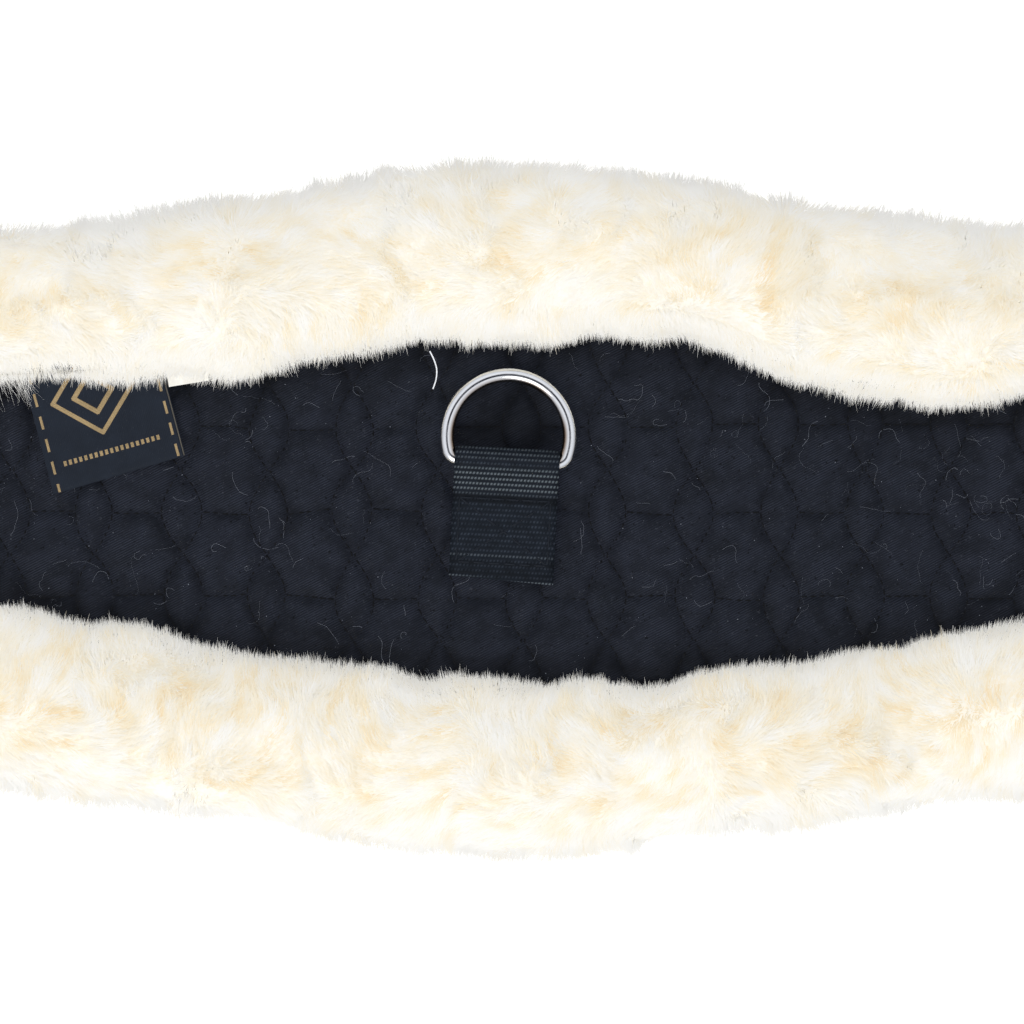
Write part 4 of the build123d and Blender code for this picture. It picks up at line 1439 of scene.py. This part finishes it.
def tongue(name, sx, at_bar, at_roller, steel):
    """A wire bent round the bar, crowned over the roller and rounded at the tip."""
    reach = at_roller[1] - at_bar[1]
    over = 3.5 + 1.8 + 0.3
    bends = [(2.9, 0.5), (9.0, 2.9), (18.0, 5.1), (reach - 2.0, over + 0.15), (reach + 6.25, over - 1.45)]
    line = smooth_line(bends, 70)
    path = on_strap(sx, at_bar, np.column_stack([np.zeros(len(line)), line]))
    tip = np.clip((1 - np.linspace(0, 1, len(line))) / 0.045, 0, 1)
    shape = Shape()
    shape.add(*tube(path, 1.75 * np.sqrt(1 - (1 - tip) ** 2 * 0.985), sides=20, up=(0, 1, 0)))
    # Eye: a rounded band round the bar.
    band = []
    for a in np.radians(np.arange(0, 360, 24)):
        ca, sa = math.cos(a), math.sin(a)
        band.append((1.9 * np.sign(ca) * abs(ca) ** 0.5, 3.22 + 0.84 * np.sign(sa) * abs(sa) ** 0.6))
    shape.add(*lathe(band, sx, at_bar))
    shape.become(f"{name}_tongue_steel", steel, f"{name}_tongue", [f"{name}_buckle_tongue"])


# ------------------------------------------------------------------ hidden layers
def layer_materials():
    hide = Nodes("sheepskin_hide", srgb(214, 192, 160), 0.8, Specular_IOR_Level=0.2)
    grain = hide.noise(2.0, 4.0)
    hide.colour(hide.mix(grain, srgb(196, 170, 134), srgb(228, 210, 182)))
    hide.bump(hide.noise(0.6, 3.0), 0.1)
    backing = weave_material("backing_cloth", srgb(28, 30, 34), srgb(46, 49, 55), 0.6, 0)
    web = weave_material("load_web_weave", srgb(28, 31, 36), srgb(52, 56, 62), 1.2, 0)
    for node, made in {"sheepskin_hide": hide.material, "quilt_backing": backing, "load_web": web}.items():
        obj = frame["nodes"][node]
        obj.data.materials.clear()
        obj.data.materials.append(made)


# ------------------------------------------------------------------ stage, light, camera
def stage():
    floor = Nodes("floor", (0.98, 0.98, 0.98), 0.9, Specular_IOR_Level=0.0)
    mesh = bpy.data.meshes.new("floor")
    s = 6.0
    mesh.from_pydata([(-s, -s, 0), (s, -s, 0), (s, s, 0), (-s, s, 0)], [], [(0, 1, 2, 3)])
    mesh.materials.append(floor.material)
    obj = bpy.data.objects.new("floor", mesh)
    bpy.context.scene.collection.objects.link(obj)


def add_light(name, kind, place, energy, colour=(1, 1, 1), size=1.2):
    data = bpy.data.lights.new(name, kind)
    data.energy = energy
    data.color = colour
    if kind == "AREA":
        data.shape = "DISK"
        data.size = size
    obj = bpy.data.objects.new(name, data)
    obj.location = place
    obj.rotation_mode = "QUATERNION"
    obj.rotation_quaternion = (-Vector(place)).to_track_quat("-Z", "Y")
    bpy.context.scene.collection.objects.link(obj)
    return obj


def lighting():
    """A white room, dark straight overhead and greyer towards the ground, one soft key and even fill."""
    world = bpy.data.worlds.new("studio")
    world.use_nodes = True
    tree = world.node_tree
    coordinates = tree.nodes.new("ShaderNodeTexCoord")
    split = tree.nodes.new("ShaderNodeSeparateXYZ")
    tree.links.new(coordinates.outputs["Generated"], split.inputs[0])
    # What lights cloth and wool, and the brighter white walls and warm skirting that steel mirrors.
    room = [
        (0.0, (0.34, 0.33, 0.33)), (0.25, (0.62, 0.62, 0.64)), (0.55, (1.15, 1.15, 1.18)),
        (0.88, (1.25, 1.25, 1.27)), (0.955, (1.2, 1.2, 1.22)), (0.972, (0.06, 0.06, 0.07)),
        (1.0, (0.06, 0.06, 0.07)),
    ]
    mirrored = [
        (0.0, (0.5, 0.47, 0.45)), (0.24, (1.0, 1.02, 1.1)), (0.4, (1.35, 1.38, 1.48)),
        (0.7, (1.7, 1.76, 1.9)), (0.93, (1.85, 1.9, 2.02)), (0.962, (1.3, 1.3, 1.4)),
        (0.975, (0.08, 0.09, 0.12)), (1.0, (0.08, 0.09, 0.12)),
    ]
    shaders = []
    for stops in (room, mirrored):
        ramp = tree.nodes.new("ShaderNodeValToRGB")
        tones = ramp.color_ramp
        tones.elements[0].color = (*stops[0][1], 1)
        tones.elements[1].color = (*stops[-1][1], 1)
        for at, colour in stops[1:-1]:
            tones.elements.new(at).color = (*colour, 1)
        tree.links.new(split.outputs["Z"], ramp.inputs[0])
        background = tree.nodes.new("ShaderNodeBackground")
        background.inputs["Strength"].default_value = 0.53
        tree.links.new(ramp.outputs[0], background.inputs["Color"])
        shaders.append(background)
    path = tree.nodes.new("ShaderNodeLightPath")
    blend = tree.nodes.new("ShaderNodeMixShader")
    tree.links.new(path.outputs["Is Glossy Ray"], blend.inputs[0])
    for socket, shader in zip((1, 2), shaders):
        tree.links.new(shader.outputs[0], blend.inputs[socket])
    tree.links.new(blend.outputs[0], tree.nodes["World Output"].inputs["Surface"])
    bpy.context.scene.world = world
    add_light("key", "AREA", (-0.5, -1.1, 1.35), 12.5, (1.0, 0.985, 0.96))
    fills = {
        "over": ((0.0, -0.15, 2.0), 1.72),
        "behind": ((0.3, 2.0, 0.5), 0.85),
        "front": ((-0.3, -2.0, 0.5), 0.6),
    }
    for name, (place, energy) in fills.items():
        fill = add_light(f"fill_{name}", "SUN", place, energy, (0.98, 0.99, 1.0))
        fill.data.use_shadow = False
        fill.visible_glossy = False


def camera():
    """Looks straight down and takes in 239 mm of the girth at the height of the pad."""
    seen, distance = 239.25 * MM, 0.80
    data = bpy.data.cameras.new("camera")
    data.sensor_width = 36.0
    data.lens = 36.0 * distance / seen
    data.dof.use_dof = False
    obj = bpy.data.objects.new("camera", data)
    obj.location = (0, 0, TOP * MM + distance)
    obj.rotation_euler = (0, 0, 0)
    bpy.context.scene.collection.objects.link(obj)
    bpy.context.scene.camera = obj
    bpy.context.scene.view_settings.view_transform = "Standard"


# ------------------------------------------------------------------ build
def main():
    thread = thread_material("black_thread", dark(9, 10, 13))
    quiet_thread = thread_material("quilting_thread", dark(9, 10, 13))
    elastic_cloth = weave_material("black_elastic", dark(30, 32, 36), dark(74, 78, 85), 1.15, 0, dotted=0.7)
    tape = weave_material("black_tape", dark(27, 29, 33), dark(66, 70, 76), 0.8, 1, dotted=0.6)
    label_cloth = weave_material(
        "label_cloth", dark(36, 42, 52), dark(51, 58, 70), 0.42, 0, angle=-15.2, depth=0.02
    )
    figure = weave_material(
        "label_thread", dark(176, 152, 112), dark(214, 192, 152), 0.5, 1, dotted=0.7, angle=30
    )
    selvedge = thread_material("label_selvedge", dark(104, 100, 92))
    paper, paper_light = dark(250, 247, 238, gain=1.45), dark(254, 252, 246, gain=1.4)
    care = weave_material("care_label_cloth", paper, paper_light, 0.4, 0, depth=0.02)
    steel = steel_material()
    roller_steel = steel_material("roller_steel", 0.2, (0.74, 0.745, 0.75))
    fleece = fleece_materials()
    underwool = underwool_material()
    quilted_cover(cotton_material())
    quilt_stitching(quiet_thread)
    for row in ROWS:
        roll_base(row, underwool)
        roll_fleece(row, fleece)
    lining_fleece(fleece, underwool)
    d_ring(steel)
    ring_tab(webbing_material(), thread_material("tab_thread", dark(31, 36, 44)))
    labels(label_cloth, figure, selvedge, care)
    lint(thread_material("lint", dark(150, 156, 168)), thread_material("wool_strand", srgb(206, 208, 212)))
    end_patches(leather_material(), thread)
    end_bindings(tape, thread)
    straps(elastic_cloth, thread, steel, roller_steel)
    layer_materials()
    stage()
    lighting()
    camera()


main()
